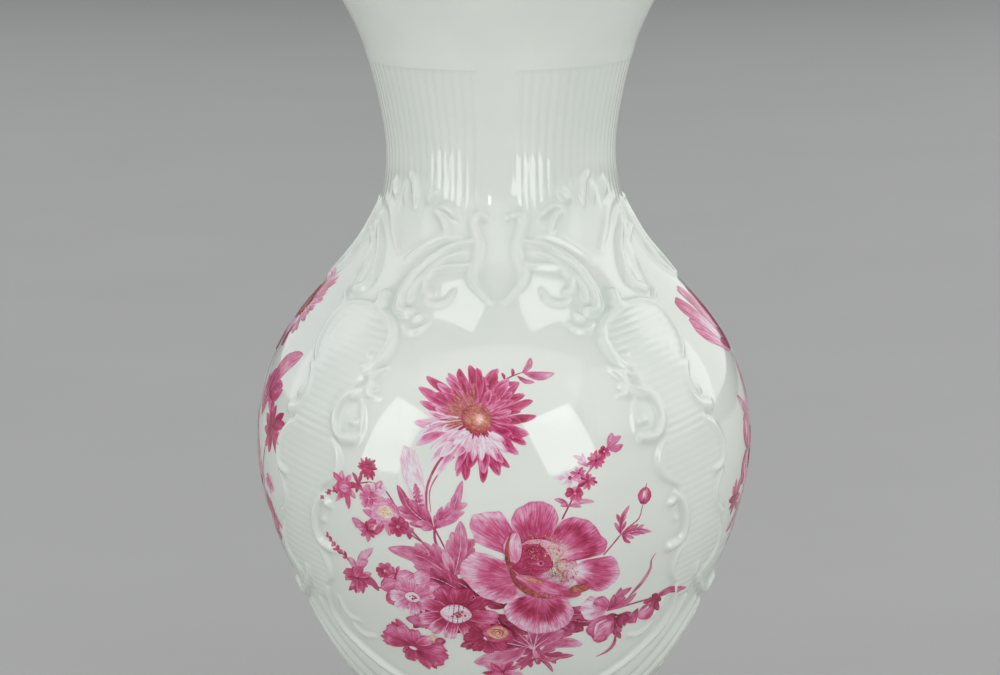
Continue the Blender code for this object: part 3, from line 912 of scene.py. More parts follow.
# Shares of a petal's reach from one side of its rim to the other
RUFFLE_RIM = (0.58, 0.90, 1.0, 0.97, 1.0, 0.86, 0.55)
FAN_RIM = (0.72, 0.93, 1.0, 0.95, 1.0, 0.90, 0.68)

# Aster's rings as (petals, inner share, outer share, width share), its pale petals below, its hairs all
# round and its golden ones above
ASTER_RINGS = ((26, 0.26, 0.98, 0.084), (24, 0.24, 0.84, 0.078), (19, 0.22, 0.62, 0.068))
ASTER_PALE, ASTER_HAIRS, ASTER_GOLDEN = 13, 46, 26

# Tulip's petals: direction from its axis, half spread, shares of its size along the rim, depth of colour
TULIP_PETALS = [
    (30, 24, (0.30, 0.78, 0.88, 0.80, 0.35), (0.45, 0.28, 0.30, 0.52, 0.42)),
    (-36, 20, (0.30, 0.76, 0.86, 0.78, 0.30), (0.80, 0.70, 0.62, 0.72, 0.50)),
    (12, 19, (0.35, 0.92, 1.00, 0.94, 0.35), (0.16, 0.08, 0.14, 0.52, 0.56)),
    (-14, 17, (0.35, 0.86, 0.97, 0.88, 0.35), (0.26, 0.18, 0.42, 0.66, 0.44)),
    (-46, 12, (0.30, 0.52, 0.62, 0.50, 0.30), (0.85, 0.90, 0.88, 0.75, 0.80)),
]

# Open flower's petals, in mm round its heart: root, direction, half spread, reaches from one side to the
# other, depth of colour from root to rim, hairs along the fringe, and where that starts
OPEN_PETALS = [
    ((-3.5, 2.2), 138, 35, (3.8, 7.8, 8.9, 10.5, 11.0, 9.9, 9.3, 8.3, 3.8), (0.16, 0.46, 0.60, 0.42, 0.22),
     30, 0.66),
    ((5.2, -1.5), -14, 45, (4.0, 7.8, 9.0, 9.2, 8.4, 6.9, 4.2), (0.02, 0.10, 0.66, 0.66, 0.20), 22, 0.72),
    ((1.3, 1.2), 37, 49, (4.0, 6.8, 8.5, 9.5, 9.9, 10.0, 10.9, 9.4, 4.2), (0.12, 0.18, 0.56, 0.80, 0.34), 34,
     0.50),
    ((-1.3, 2.6), 89, 47, (3.8, 6.7, 8.3, 8.7, 9.4, 9.3, 8.6, 7.4, 4.0), (0.86, 0.80, 0.72, 0.50, 0.36), 34,
     0.62),
    ((-3.5, -2.4), 194, 64, (4.4, 6.0, 6.7, 7.7, 8.7, 10.3, 10.4, 9.2, 4.6), (0.34, 0.52, 0.64, 0.36, 0.16),
     44, 0.68),
    ((-0.3, -6.0), -97, 82, (4.9, 7.4, 8.3, 8.6, 8.4, 8.0, 7.5, 6.5, 4.0), (0.42, 0.56, 0.88, 0.36, 0.16),
     60, 0.64),
]


class Enamel:
    """The strokes of one enamel colour in one panel."""

    def __init__(self):
        self.points, self.quads, self.triangles = [], [], []
        self.depth, self.stroke = [], []
        self.total = 0

    def add(self, front, back, depth, stroke):
        """A stroke: its front surface, closed by a keel along its middle."""
        rows, columns = front.shape[:2]
        first, root = self.total, self.total + rows * columns
        self.points += [front.reshape(-1, 3), back]
        self.quads.append(grid_quads(rows, columns, first=first))
        i = np.arange(rows - 1)
        left, right = first + i * columns, first + i * columns + columns - 1
        self.quads.append(np.stack([left, left + columns, root + i + 1, root + i], -1))
        self.quads.append(np.stack([right + columns, right, root + i, root + i + 1], -1))
        j = np.arange(columns - 1)
        last = first + (rows - 1) * columns
        self.triangles.append(np.stack([first + j + 1, first + j, root + 0 * j], -1))
        self.triangles.append(np.stack([last + j, last + j + 1, root + rows - 1 + 0 * j], -1))
        self.depth += [depth.ravel(), depth[:, columns // 2]]
        self.stroke += [stroke.reshape(-1, 3), stroke[:, columns // 2]]
        self.total += rows * columns + rows

    def add_sheet(self, front, back, depth, stroke):
        """A petal: its front surface, closed by a back surface of the same grid."""
        rows, columns = front.shape[:2]
        first, under = self.total, self.total + rows * columns
        self.points += [front.reshape(-1, 3), back.reshape(-1, 3)]
        self.quads.append(grid_quads(rows, columns, first=first))
        self.quads.append(grid_quads(rows, columns, first=under)[:, ::-1])
        i, j = np.arange(rows - 1) * columns, np.arange(columns - 1)
        right, high = i + columns - 1, (rows - 1) * columns + j
        for a, b in ((j + 1, j), (high, high + 1), (i, i + columns), (right + columns, right)):
            self.quads.append(np.stack([first + a, first + b, under + b, under + a], -1))
        self.depth += [depth.ravel()] * 2
        self.stroke += [stroke.reshape(-1, 3)] * 2
        self.total += 2 * rows * columns

    def finish(self, name, material, slot):
        """Makes the piece, with each vertex's depth of colour and its place in its stroke."""
        points = np.concatenate(self.points)
        made = make_mesh(name, points, np.concatenate(self.quads), np.concatenate(self.triangles))
        depth = made.data.attributes.new("depth", "FLOAT", "POINT")
        depth.data.foreach_set("value", np.concatenate(self.depth).astype(np.float32))
        stroke = made.data.attributes.new("stroke", "FLOAT_VECTOR", "POINT")
        stroke.data.foreach_set("vector", np.concatenate(self.stroke).astype(np.float32).ravel())
        return piece(made, material)


class Panel:
    """Paints one reserve. Later strokes lie over earlier ones, whatever their colour."""

    def __init__(self, relief, centre, seed, flip=1):
        self.relief, self.centre, self.flip = relief, centre, flip
        self.hand = np.random.default_rng(seed)
        self.colours = {"bloom": Enamel(), "leaf": Enamel(), "amber": Enamel()}
        self.laid = []

    def next_layer(self, flat):
        """The layer over every stroke that a new one may cross."""
        low, high = flat.min((0, 1)), flat.max((0, 1))
        under = [layer for other_low, other_high, layer in self.laid
                 if (low < other_high).all() and (high > other_low).all()]
        layer = 1 + max(under, default=0)
        self.laid.append((low, high, layer))
        return layer

    def brush(self, colour, path, half_width, shape, depth, least=(7, 5), wave=0.0):
        """One stroke. Depth of colour is given at its root, middle, tip and rim, from 0 to 1."""
        reach = sum(math.dist(a, b) for a, b in zip(path, path[1:]))
        rows = max(least[0], math.ceil(1.4 * reach / STROKE_STEP))
        columns = max(least[1], 2 * math.ceil(half_width / STROKE_STEP) + 1)
        t = 0.5 - 0.5 * np.cos(np.pi * np.linspace(0, 1, rows))
        spine, tangent, length = curve([(x * self.flip, y) for x, y in path], t)
        widest, blunt, root = shape
        full = np.sin(np.pi * t**widest).clip(0) ** blunt
        full = np.maximum(full, root * (1 - t) ** 0.4)
        full = np.maximum(full, POINT_SHARE)
        phase = self.hand.uniform(0, 6.28, 3)
        v = np.linspace(-1, 1, columns)[None]
        ragged = 1 + wave * np.sin(9 * t[:, None] + phase[0] + 2 * v)
        across = half_width * full[:, None] * ragged * v
        along = wave * half_width * np.sin(4.5 * v + phase[1]) * t[:, None] ** 4
        side = np.stack([tangent[:, 1], -tangent[:, 0]], -1)
        flat = spine[:, None] + side[:, None] * across[..., None] + tangent[:, None] * along[..., None]
        lift = ENAMEL_LIFT + LAYER_STEP * self.next_layer(flat)
        front = self.on_wall(flat, lift + ENAMEL_CROWN * (1 - v**2))
        back = self.on_wall(spine, ENAMEL_ROOT + 0 * t)
        at_root, middle, tip, rim = depth
        body = np.where(t < 0.5, at_root + (middle - at_root) * 2 * t, middle + (tip - middle) * (2 * t - 1))
        edge = np.clip(np.abs(v) ** 3 + t[:, None] ** 7, 0, 1)
        shade = body[:, None] * (1 - edge) + rim * edge
        seed = self.hand.uniform(0, 40)
        run = t[:, None] * length
        stroke = np.stack([v * half_width + 0 * run, run + 0 * v, seed + 0 * shade], -1)
        self.colours[colour].add(front, back, shade, stroke)

    def on_wall(self, flat, lift):
        """Points of the flat panel on the vase's wall and its relief."""
        z = track_height(flat[..., 1] * MM)
        azimuth = self.centre + np.degrees(flat[..., 0] * MM / radius(z))
        return surface(azimuth, z, lift + self.relief.over(azimuth, z))

    def jitter(self, spread):
        return self.hand.uniform(-spread, spread)

    def petal(self, colour, root, direction, spread, reaches, tones, wave=0.02, hairs=0, fringe=0.62):
        """A petal that fans out from its root to a rim drawn at even angles across it. Depth of colour runs
        from root to rim, and hairs carry its deep middle out over the fringe."""
        root = np.array(root, float)
        angles = direction + np.linspace(spread, -spread, len(reaches))
        rim = [polar(root, reach, angle) for reach, angle in zip(reaches, angles)]
        length = sum(math.dist(a, b) for a, b in zip(rim, rim[1:]))
        rows = max(6, math.ceil(1.2 * max(reaches) / STROKE_STEP))
        share = np.linspace(0, 1, max(7, 2 * math.ceil(0.6 * length / STROKE_STEP) + 1))
        rim = curve(rim, share)[0] - root
        phase = self.hand.uniform(0, 6.28, 2)
        ragged = wave * (np.sin(23 * share + phase[0]) + 0.6 * np.sin(51 * share + phase[1]))
        t = np.linspace(0.03, 1, rows)[:, None]
        flat = root + rim * (t * (1 + ragged * t**3))[..., None]
        bulge = 0.5 * PETAL_BULGE * (1 - 2 * share) * np.sin(np.pi * t)
        flat = flat + bulge[..., None] * (rim[0] - rim[-1])
        side = np.abs(2 * share - 1)[None]
        shade = np.interp(t, np.linspace(0, 1, len(tones)), tones) * (1 - side**8) + tones[-1] * side**8
        shade = shade + PETAL_OUTLINE * (ease(t, 0.93, 0.99) + ease(side, 0.93, 0.99))
        seed = self.hand.uniform(0, 40)
        stroke = np.stack([share * length + 0 * t, t * max(reaches) + 0 * share, seed + 0 * shade], -1)
        if self.flip < 0:
            flat, shade, stroke = (flat * (-1, 1))[:, ::-1], shade[:, ::-1], stroke[:, ::-1]
        lift = ENAMEL_LIFT + LAYER_STEP * self.next_layer(flat)
        front = self.on_wall(flat, lift + ENAMEL_CROWN * (1 - side**2) * (1 - t**4))
        back = self.on_wall(flat + PETAL_INSET * (flat.mean((0, 1)) - flat), ENAMEL_ROOT + 0 * shade)
        self.colours[colour].add_sheet(front, back, shade, stroke)
        deep = tones[len(tones) // 2]
        for k in range(hairs):
            place = (k + 0.5) / hairs
            edge = np.array([np.interp(place, share, rim[:, axis]) for axis in (0, 1)])
            low = fringe - 0.12 + self.jitter(0.05)
            high = low + 0.20 + self.jitter(0.06)
            tones_out = (deep, deep, deep - 0.12, deep - 0.06)
            self.brush(colour, [root + edge * low, root + edge * high], HAIR_WIDTH, NARROW, tones_out, (5, 3))

    def disc(self, colour, centre, size, tones, squash=1.0, tilt=0.0):
        """A round or oval patch. Depth of colour is given at its left, middle, right and rim."""
        ends = [polar(centre, -size, tilt), centre, polar(centre, size, tilt)]
        self.brush(colour, ends, size * squash, OVAL, tones, (7, 7))

    # -------------------------------------------------- motifs
    def stem(self, path, half_width=0.22, depth=0.7):
        """A stem of even width."""
        self.brush("leaf", path, half_width, STEM, (depth, depth - 0.1, depth, depth + 0.05))

    def leaf(self, base, tip, half_width, depth=0.55, bend=0.12, lobes=3):
        """A lobed leaf: pairs of round side lobes on a curved rib and one at its tip, deep at their roots."""
        base, tip = np.array(base, float), np.array(tip, float)
        along = tip - base
        middle = base + along * 0.5 + np.array([along[1], -along[0]]) * bend
        rib, tangents, length = curve([base, middle, tip], np.linspace(0, 1, 21))
        for k in range(lobes):
            share = 0.04 + 0.54 * k / max(1, lobes)
            root, heading = rib[int(share * 20)], tangents[int(share * 20)]
            for hand in (-1, 1):
                out = np.array([heading[1], -heading[0]]) * hand
                span = half_width * (1 - 0.18 * k) * (1 + self.jitter(0.16))
                reach = length * (0.40 - 0.03 * k) * (1 + self.jitter(0.10))
                end = root + heading * reach + out * span * 1.2
                knee = root + heading * reach * 0.46 + out * span * 0.50
                shade = depth + self.jitter(0.10)
                tones = (shade + 0.24, shade + 0.05, shade - 0.22, shade - 0.12)
                self.brush("leaf", [root, knee, end], half_width * 0.40, ROUNDED, tones, wave=0.06)
        tones = (depth + 0.24, depth + 0.08, depth - 0.20, depth - 0.10)
        self.brush("leaf", [base, middle, tip], half_width * 0.50, ROUNDED, tones, wave=0.05)
        if lobes > 2:
            tip = 0.35 * middle + 0.65 * tip
            self.brush("leaf", [base, middle, tip], 0.07, STEM, (0.35, 0.2, 0.3, 0.3), (9, 3))

    def blade(self, base, tip, half_width, depth=0.6, bend=0.12):
        """A plain narrow leaf or sepal."""
        base, tip = np.array(base, float), np.array(tip, float)
        along = tip - base
        middle = base + along * 0.5 + np.array([along[1], -along[0]]) * bend
        tones = (depth + 0.2, depth, depth - 0.18, depth)
        self.brush("leaf", [base, middle, tip], half_width, LOBED, tones, wave=0.04)

    def bud(self, centre, size, turn, depth=0.6):
        """A round bud: a shaded ball, two wrapped petals and a light edge, in a small calyx."""
        self.disc("bloom", centre, size, (depth + 0.1, depth - 0.12, depth - 0.05, depth + 0.20), 0.92, turn)
        for hand in (-1, 1):
            bows = ((0.9, 165), (0.5, 100), (0.8, 25))
            path = [polar(centre, size * reach, turn + hand * angle) for reach, angle in bows]
            self.brush("bloom", path, size * 0.26, NARROW, (depth + 0.2, depth + 0.14, depth, depth + 0.2))
        bows = ((0.35, 150), (0.15, 60), (0.6, 8))
        path = [polar(centre, size * reach, turn + angle) for reach, angle in bows]
        self.brush("bloom", path, size * 0.16, NARROW, (depth - 0.3, 0.12, 0.12, depth - 0.2))
        foot = polar(centre, -size * 0.85, turn)
        for spread in (-60, 0, 60):
            tip = polar(foot, size * 0.62, turn + spread)
            path = [foot, polar(foot, size * 0.35, turn + spread * 1.3), tip]
            self.brush("leaf", path, size * 0.15, POINTED, (0.9, 0.8, 0.7, 0.85))

    def blossom(self, centre, size, turn=0.0, petals=5, depth=0.5, squash=0.85, heart="amber"):
        """A small open blossom of rounded petals."""
        self.disc("bloom", centre, size * 0.6, (depth + 0.1, depth + 0.1, depth + 0.1, depth), squash)
        for k in range(petals):
            angle = turn + 360 * k / petals + self.jitter(12)
            reach = size * (1 + self.jitter(0.15))
            root, tip = polar(centre, size * 0.12, angle, squash), polar(centre, reach, angle, squash)
            middle = polar(centre, reach * 0.55, angle + self.jitter(8), squash)
            shade = depth + self.jitter(0.18)
            tones = (shade + 0.25, shade, shade - 0.15, shade - 0.04)
            self.brush("bloom", [root, middle, tip], size * 0.40, ROUNDED, tones, wave=0.06)
        self.disc(heart, centre, size * 0.2, (0.5, 0.35, 0.5, 0.8))

    def ruffle(self, centre, size, squash=0.8, tilt=0.0, depth=0.75, eye=0.36, petals=9, pale=0.0):
        """A ruffled rosette, lighter towards its lower right, with a pale ringed eye."""
        under = (depth + 0.10, depth + 0.12, depth + 0.05, depth)
        self.disc("bloom", centre, size * 0.84, under, squash, tilt)
        for k in range(petals):
            angle = tilt + 100 + 360 * k / petals + self.jitter(6)
            turn = math.radians(angle - tilt)
            stretch = size / math.hypot(math.cos(turn), math.sin(turn) / squash) * (1 + self.jitter(0.05))
            light = pale * (0.5 - 0.5 * math.sin(math.radians(angle + 25)))
            shade = depth + self.jitter(0.07) - 0.35 * light
            reaches = [stretch * share for share in RUFFLE_RIM]
            tones = (shade + 0.05, shade + 0.10, shade + 0.08, shade - 0.08 - light, shade - 0.16 - light)
            root = polar(centre, size * 0.06, angle)
            self.petal("bloom", root, angle, 225 / petals, reaches, tones, 0.02, int(2.4 * size), 0.74)
        self.disc("bloom", centre, size * eye * 1.07, (0.85, 0.9, 0.6, 0.85), squash * 0.95, tilt)
        self.disc("bloom", centre, size * eye, (0.10, 0.02, 0.06, 0.20), squash * 0.92, tilt)
        heart = polar(centre, size * eye * 0.15, tilt - 40)
        for k in range(11):
            spot = polar(heart, size * eye * self.hand.uniform(0.05, 0.42), 47 * k, squash, tilt)
            away = polar(spot, size * 0.07, 60 * k)
            colour = "amber" if k % 3 == 0 else "bloom"
            self.brush(colour, [spot, away], size * 0.045, OVAL, (0.85, 0.7, 0.8, 0.85), (5, 3))

    def star(self, centre, size, turn=90.0, petals=9, depth=0.62, squash=1.0, tilt=0.0):
        """A starry flower of narrow petals."""
        for k in range(petals):
            angle = turn + 360 * k / petals + self.jitter(9)
            reach = size * (1 + self.jitter(0.20))
            shares = ((0.06, 0), (0.55, 6), (1, 0))
            path = [polar(centre, reach * share, angle + bow, squash, tilt) for share, bow in shares]
            shade = depth + self.jitter(0.18)
            tones = (shade + 0.2, shade + 0.05, shade - 0.22, shade - 0.06)
            width = size * (0.13 + 0.62 / petals)
            self.brush("bloom", path, width * (0.6 + 0.4 * min(1, squash)), LOBED, tones, wave=0.06)
        self.disc("bloom", centre, size * 0.12, (0.95, 0.9, 0.95, 0.95))

    def aster(self, centre, size, washed=205.0, droop=205.0):
        """A full aster: rings of strap petals, longer and washed pale to one side, round a stippled eye."""
        for ring, (count, inner, outer, width) in enumerate(ASTER_RINGS):
            for k in range(count):
                angle = 360 * (k + 0.37 * ring) / count + self.jitter(4)
                pale = 0.46 * float(ease(math.cos(math.radians(angle - washed)), 0.55, 0.98))
                longer = 1 + 0.10 * math.cos(math.radians(angle - droop))
                reach = outer * longer * (1 + self.jitter(0.10))
                bow = self.jitter(8)
                shares = ((inner, 0), (0.5 * (inner + reach), bow), (reach, bow * 0.3))
                path = [polar(centre, size * share, angle + turn, 0.98) for share, turn in shares]
                shade = 0.70 + self.jitter(0.12) - pale - 0.03 * ring
                tones = (shade - 0.12, shade + 0.12, shade + 0.02, shade - 0.22)
                self.brush("bloom", path, size * width * (1 + self.jitter(0.22)), BLUNT, tones, wave=0.12)
                if k % 2 == ring % 2:
                    tip = [path[0], path[1], polar(centre, size * reach * 0.88, angle + bow * 0.5, 0.98)]
                    dark = (shade + 0.2, shade + 0.22, shade + 0.1, shade + 0.1)
                    self.brush("bloom", tip, size * width * 0.32, NARROW, dark, wave=0.12)
        below = (centre[0] + size * 0.05, centre[1] - size * 0.14)
        for k in range(ASTER_PALE):
            angle = -158 + 10.5 * k + self.jitter(3)
            shares = (0.14, 0.36, 0.54 + self.jitter(0.10))
            path = [polar(below, size * share, angle, 0.97) for share in shares]
            self.brush("bloom", path, size * 0.062, LOBED, (0.04, 0.05, 0.16, 0.26), wave=0.10)
        for k in range(ASTER_HAIRS):
            angle = 360 * k / ASTER_HAIRS + self.jitter(4)
            shares = (0.14, 0.33 + self.jitter(0.07))
            path = [polar(centre, size * share, angle, 0.94) for share in shares]
            tone = 0.62 if 20 < angle % 360 < 190 else 0.78
            self.brush("bloom", path, size * 0.022, NARROW, (tone, tone, tone - 0.15, tone - 0.1), (5, 3))
        for k in range(ASTER_GOLDEN):
            angle = 95 + 4.2 * k + self.jitter(5)
            shares = (0.20, 0.40 + self.jitter(0.05), 0.56 + self.jitter(0.12))
            path = [polar(centre, size * share, angle, 0.94) for share in shares]
            self.brush("amber", path, size * 0.016, NARROW, (0.66, 0.62, 0.55, 0.6), (5, 3))
        self.disc("amber", centre, size * 0.27, (0.64, 0.50, 0.66, 0.80), 0.90, 150)
        self.speckle(centre, size * 0.26, 70, (0.44, 0.56, 0.74, 0.84), 0.13)

    def speckle(self, centre, size, count, tones, dot, colour="amber"):
        """Fine dots of enamel scattered within a circle."""
        for k in range(count):
            spot = polar(centre, size * math.sqrt(self.hand.uniform(0, 1)), self.hand.uniform(0, 360))
            away = polar(spot, dot, self.hand.uniform(0, 360))
            self.brush(colour, [spot, away], dot * 0.55, OVAL, (tones[k % len(tones)],) * 4, (4, 3))

    def open_flower(self, centre, size):
        """A broad open flower: six petals round a dark cup, a petal folded up in front, and stamens."""

        def at(*points):
            return [(centre[0] + size * x, centre[1] + size * y) for x, y in points]

        def wash(colour, points, half_width, shape, tones, wave=0.0):
            self.brush(colour, at(*points), half_width * size, shape, tones, wave=wave)

        def dots(heart, spread, count, tones, dot, colour="amber"):
            self.speckle(at(heart)[0], spread * size, count, tones, dot * size, colour)

        self.disc("bloom", at((0.6, -1.4))[0], 6.0 * size, (0.40, 0.24, 0.10, 0.30), 0.9)
        for root, direction, spread, reaches, tones, hairs, fringe in OPEN_PETALS:
            reaches = [size * reach for reach in reaches]
            hairs = int(hairs * size)
            self.petal("bloom", at(root)[0], direction, spread, reaches, tones, 0.012, hairs, fringe)
        # wash behind the cup, the mottled cup and its knob
        wash("bloom", [(-3.6, 3.8), (0.2, 4.0), (3.2, 2.4)], 1.1, OVAL, (0.46, 0.30, 0.24, 0.40), 0.12)
        dots((-1.6, 4.2), 1.9, 60, (0.40, 0.56, 0.50), 0.20)
        dots((0.8, 4.2), 1.9, 60, (0.30, 0.44, 0.36), 0.20)
        dots((3.0, 2.8), 1.9, 60, (0.26, 0.36, 0.12), 0.20)
        wash("bloom", [(-5.0, -0.4), (-1.8, 0.9), (1.7, -0.3)], 3.1, OVAL, (0.88, 0.80, 0.66, 0.74), 0.12)
        wash("bloom", [(-3.6, 2.4), (-1.2, 3.2), (1.2, 2.0)], 1.0, OVAL, (0.80, 0.90, 0.80, 0.80), 0.14)
        dots((-1.6, 0.6), 2.9, 60, (0.60, 0.95, 0.76, 1.0), 0.24, "bloom")
        dots((-0.9, 3.2), 2.3, 46, (0.62, 0.45, 0.30, 0.85), 0.17)
        dots((-0.2, 2.6), 1.9, 16, (0.06, 0.16), 0.13)
        self.disc("bloom", at((-0.1, 0.3))[0], 0.80 * size, (0.45, 0.36, 0.5, 0.95))
        self.disc("bloom", at((-0.1, 0.4))[0], 0.34 * size, (0.8, 0.9, 0.8, 0.8))
        # fold to the left: its pale inside, then its shaded outside that runs on under the front petal
        wash("bloom", [(-4.2, 6.4), (-5.0, 3.8), (-4.4, 0.6)], 1.6, OVAL, (0.36, 0.22, 0.30, 0.40))
        outside = [
            (-5.2, 6.3), (-5.9, 3.3), (-5.4, -0.4), (-4.0, -3.2), (-1.6, -5.3), (1.6, -6.1), (4.6, -6.2),
        ]
        wash("amber", outside[:4], 0.42, NARROW, (0.76, 0.86, 0.84, 0.8))
        wash("amber", outside[2:], 0.95, OVAL, (0.84, 0.74, 0.70, 0.80), 0.04)
        face = [(-4.4, -1.9), (-1.6, -3.3), (1.4, -4.9), (4.4, -6.0), (7.0, -6.4)]
        wash("bloom", face, 1.55, OVAL, (0.40, 0.52, 0.62, 0.56), 0.03)
        wash("amber", [(-3.3, -2.3), (-1.4, -2.9), (0.4, -3.6)], 0.4, OVAL, (0.5, 0.45, 0.5, 0.5))
        wash("amber", [(4.4, -6.1), (6.4, -5.2), (8.5, -5.2)], 0.92, OVAL, (0.80, 0.62, 0.66, 0.76))
        # stamens: pale threads and dots towards the cup, golden and brown ones to the right
        for k in range(40):
            away = self.hand.uniform(1.2, 3.3)
            angle = self.hand.uniform(-115, 125)
            thread = at(polar((1.9, 0.0), away * 0.35, angle), polar((1.9, 0.0), away, angle))
            self.brush("amber", thread, 0.05 * size, STEM, ((0.02, 0.10, 0.30)[k % 3],) * 4, (4, 3))
        dots((2.2, 2.2), 1.8, 44, (0.01, 0.04, 0.66), 0.18)
        dots((4.2, -1.2), 2.4, 110, (0.22, 0.30, 0.40, 0.34, 0.50, 0.86), 0.18)
        dots((3.0, -2.6), 1.1, 18, (0.03, 0.22, 0.6), 0.18)

    def tulip(self, base, size, turn):
        """A half open flower seen from the side: long petals from one foot."""
        for direction, spread, reaches, tones in TULIP_PETALS:
            reaches = [size * reach for reach in reaches]
            self.petal("bloom", base, turn + direction, spread, reaches, tones, 0.02, 16, 0.7)
        for spread in (-50, -10, 35):
            self.blade(base, polar(base, size * 0.32, turn + spread), size * 0.06, 0.8)

    def sprig(self, path, size, count, depth=0.55, turn_out=48.0):
        """A stem set with small leaves and buds, closer towards its tip."""
        self.stem(path, 0.17)
        places = np.linspace(0.18, 1, count)
        points, tangents = curve(path, places)[:2]
        for k, (point, heading) in enumerate(zip(points, tangents)):
            along = math.degrees(math.atan2(heading[1], heading[0]))
            for hand in (-1, 1):
                out = along + hand * turn_out * (1 - 0.4 * places[k]) + self.jitter(12)
                reach = size * (1.15 - 0.45 * places[k]) * (1 + self.jitter(0.25))
                tip = polar(point, reach, out)
                shade = depth + self.jitter(0.15)
                tones = (shade + 0.2, shade, shade - 0.2, shade - 0.04)
                path = [point, polar(point, reach * 0.5, out + 12 * hand), tip]
                self.brush("leaf" if k % 2 else "bloom", path, size * 0.26, LOBED, tones, wave=0.04)

    def tuft(self, root, tips, half_width, depth):
        """Small narrow leaves from one root."""
        for k, tip in enumerate(tips):
            width = half_width * (1 + self.jitter(0.2))
            self.blade(root, tip, width, depth + self.jitter(0.1), 0.1 * (-1) ** k)

    def finish(self, name, materials):
        """Makes the panel's pieces."""
        for colour, enamel in self.colours.items():
            slot = "amber_enamel" if colour == "amber" else "crimson_enamel"
            enamel.finish(f"{name}_{colour}_enamel", materials[colour], slot)


def main_bouquet(relief, centre, seed, flip=1):
    """An aster over a broad open flower, with leaves, sprigs and rosettes round them."""
    p = Panel(relief, centre, seed, flip)
    left_leaves(p)
    left_sprigs(p)
    aster_sprig(p)
    right_sprigs(p)
    lower_leaves(p)
    rosettes(p)
    lower_right_buds(p)
    p.open_flower((6.2, -15.2), 1.0)
    p.aster((-4.6, 11.0), 10.4)
    return p


def left_leaves(p):
    """Stems and leaves left of the chief flowers."""
    p.stem([(-9.5, 5.5), (-11.6, 3), (-13.4, -1), (-13.4, -5.5), (-12, -9)], 0.22)
    p.stem([(-8.5, 4.5), (-10.9, 2), (-12.9, -1.5), (-12.8, -5.5)], 0.13, 0.55)
    p.stem([(-12.2, -8.3), (-12, -11), (-10, -15), (-8.2, -18)], 0.24)
    p.stem([(-12.2, -8.3), (-10.6, -11.6), (-8.8, -15.5)], 0.16)
    pale = (0.85, 0.62, 0.22, 0.10, 0.09, 0.08, 0.13)
    p.petal("leaf", (-13.9, -8.0), 103.0, 10.5, (10.6, 12.8, 13.9, 14.3, 13.8, 12.6, 10.2), pale)
    p.brush("leaf", [(-14.0, -7.4), (-14.9, -3.6), (-15.6, -0.4)], 0.9, LOBED, (0.85, 0.7, 0.35, 0.55))
    p.leaf((-12.4, -8.2), (-18.9, -0.9), 1.75, 0.68, -0.10)
    p.leaf((-12.2, -8.3), (-7.2, 0.4), 1.6, 0.46, 0.10)
    p.leaf((-12.0, -8.4), (-8.4, -4.1), 1.0, 0.56, -0.1, 2)
    p.tuft((-12.2, -8.3), [(-15.8, -7.5), (-10.0, -6.9), (-14.6, -8.6)], 0.6, 0.6)
    p.leaf((-8.2, -18.3), (-21.0, -12.7), 2.9, 0.56, 0.10, 4)
    p.leaf((-8.8, -17.3), (-7.6, -6.8), 2.5, 0.52, 0.05, 3)
    p.leaf((-7.5, -20.5), (-16.4, -17.4), 1.9, 0.80, 0.08, 3)
    p.leaf((-5, -22), (-6.5, -17), 2.4, 0.84, 0.08, 2)
    p.leaf((0, -24), (-3.4, -20), 2.2, 0.88, 0.05, 2)


def aster_sprig(p):
    """Leafy sprig behind the aster."""
    p.stem([(-3, 15.4), (-1, 17.0), (1.5, 18.4), (3.5, 19.1)], 0.15)
    p.blade((3.3, 19.0), (4.7, 21.7), 0.62, 0.45, 0.14)
    p.blade((3.5, 19.0), (8.8, 18.6), 0.80, 0.42, 0.10)
    p.blade((2.4, 18.4), (5.4, 17.2), 0.45, 0.50, 0.12)
    p.blade((1.5, 18.3), (1.5, 19.8), 0.32, 0.75)
    p.blade((0.2, 17.8), (-0.3, 19.0), 0.28, 0.72)
    p.blade((0.0, 17.4), (2.8, 17.2), 0.50, 0.62)
    p.blade((-0.9, 16.9), (-1.5, 17.9), 0.26, 0.7)


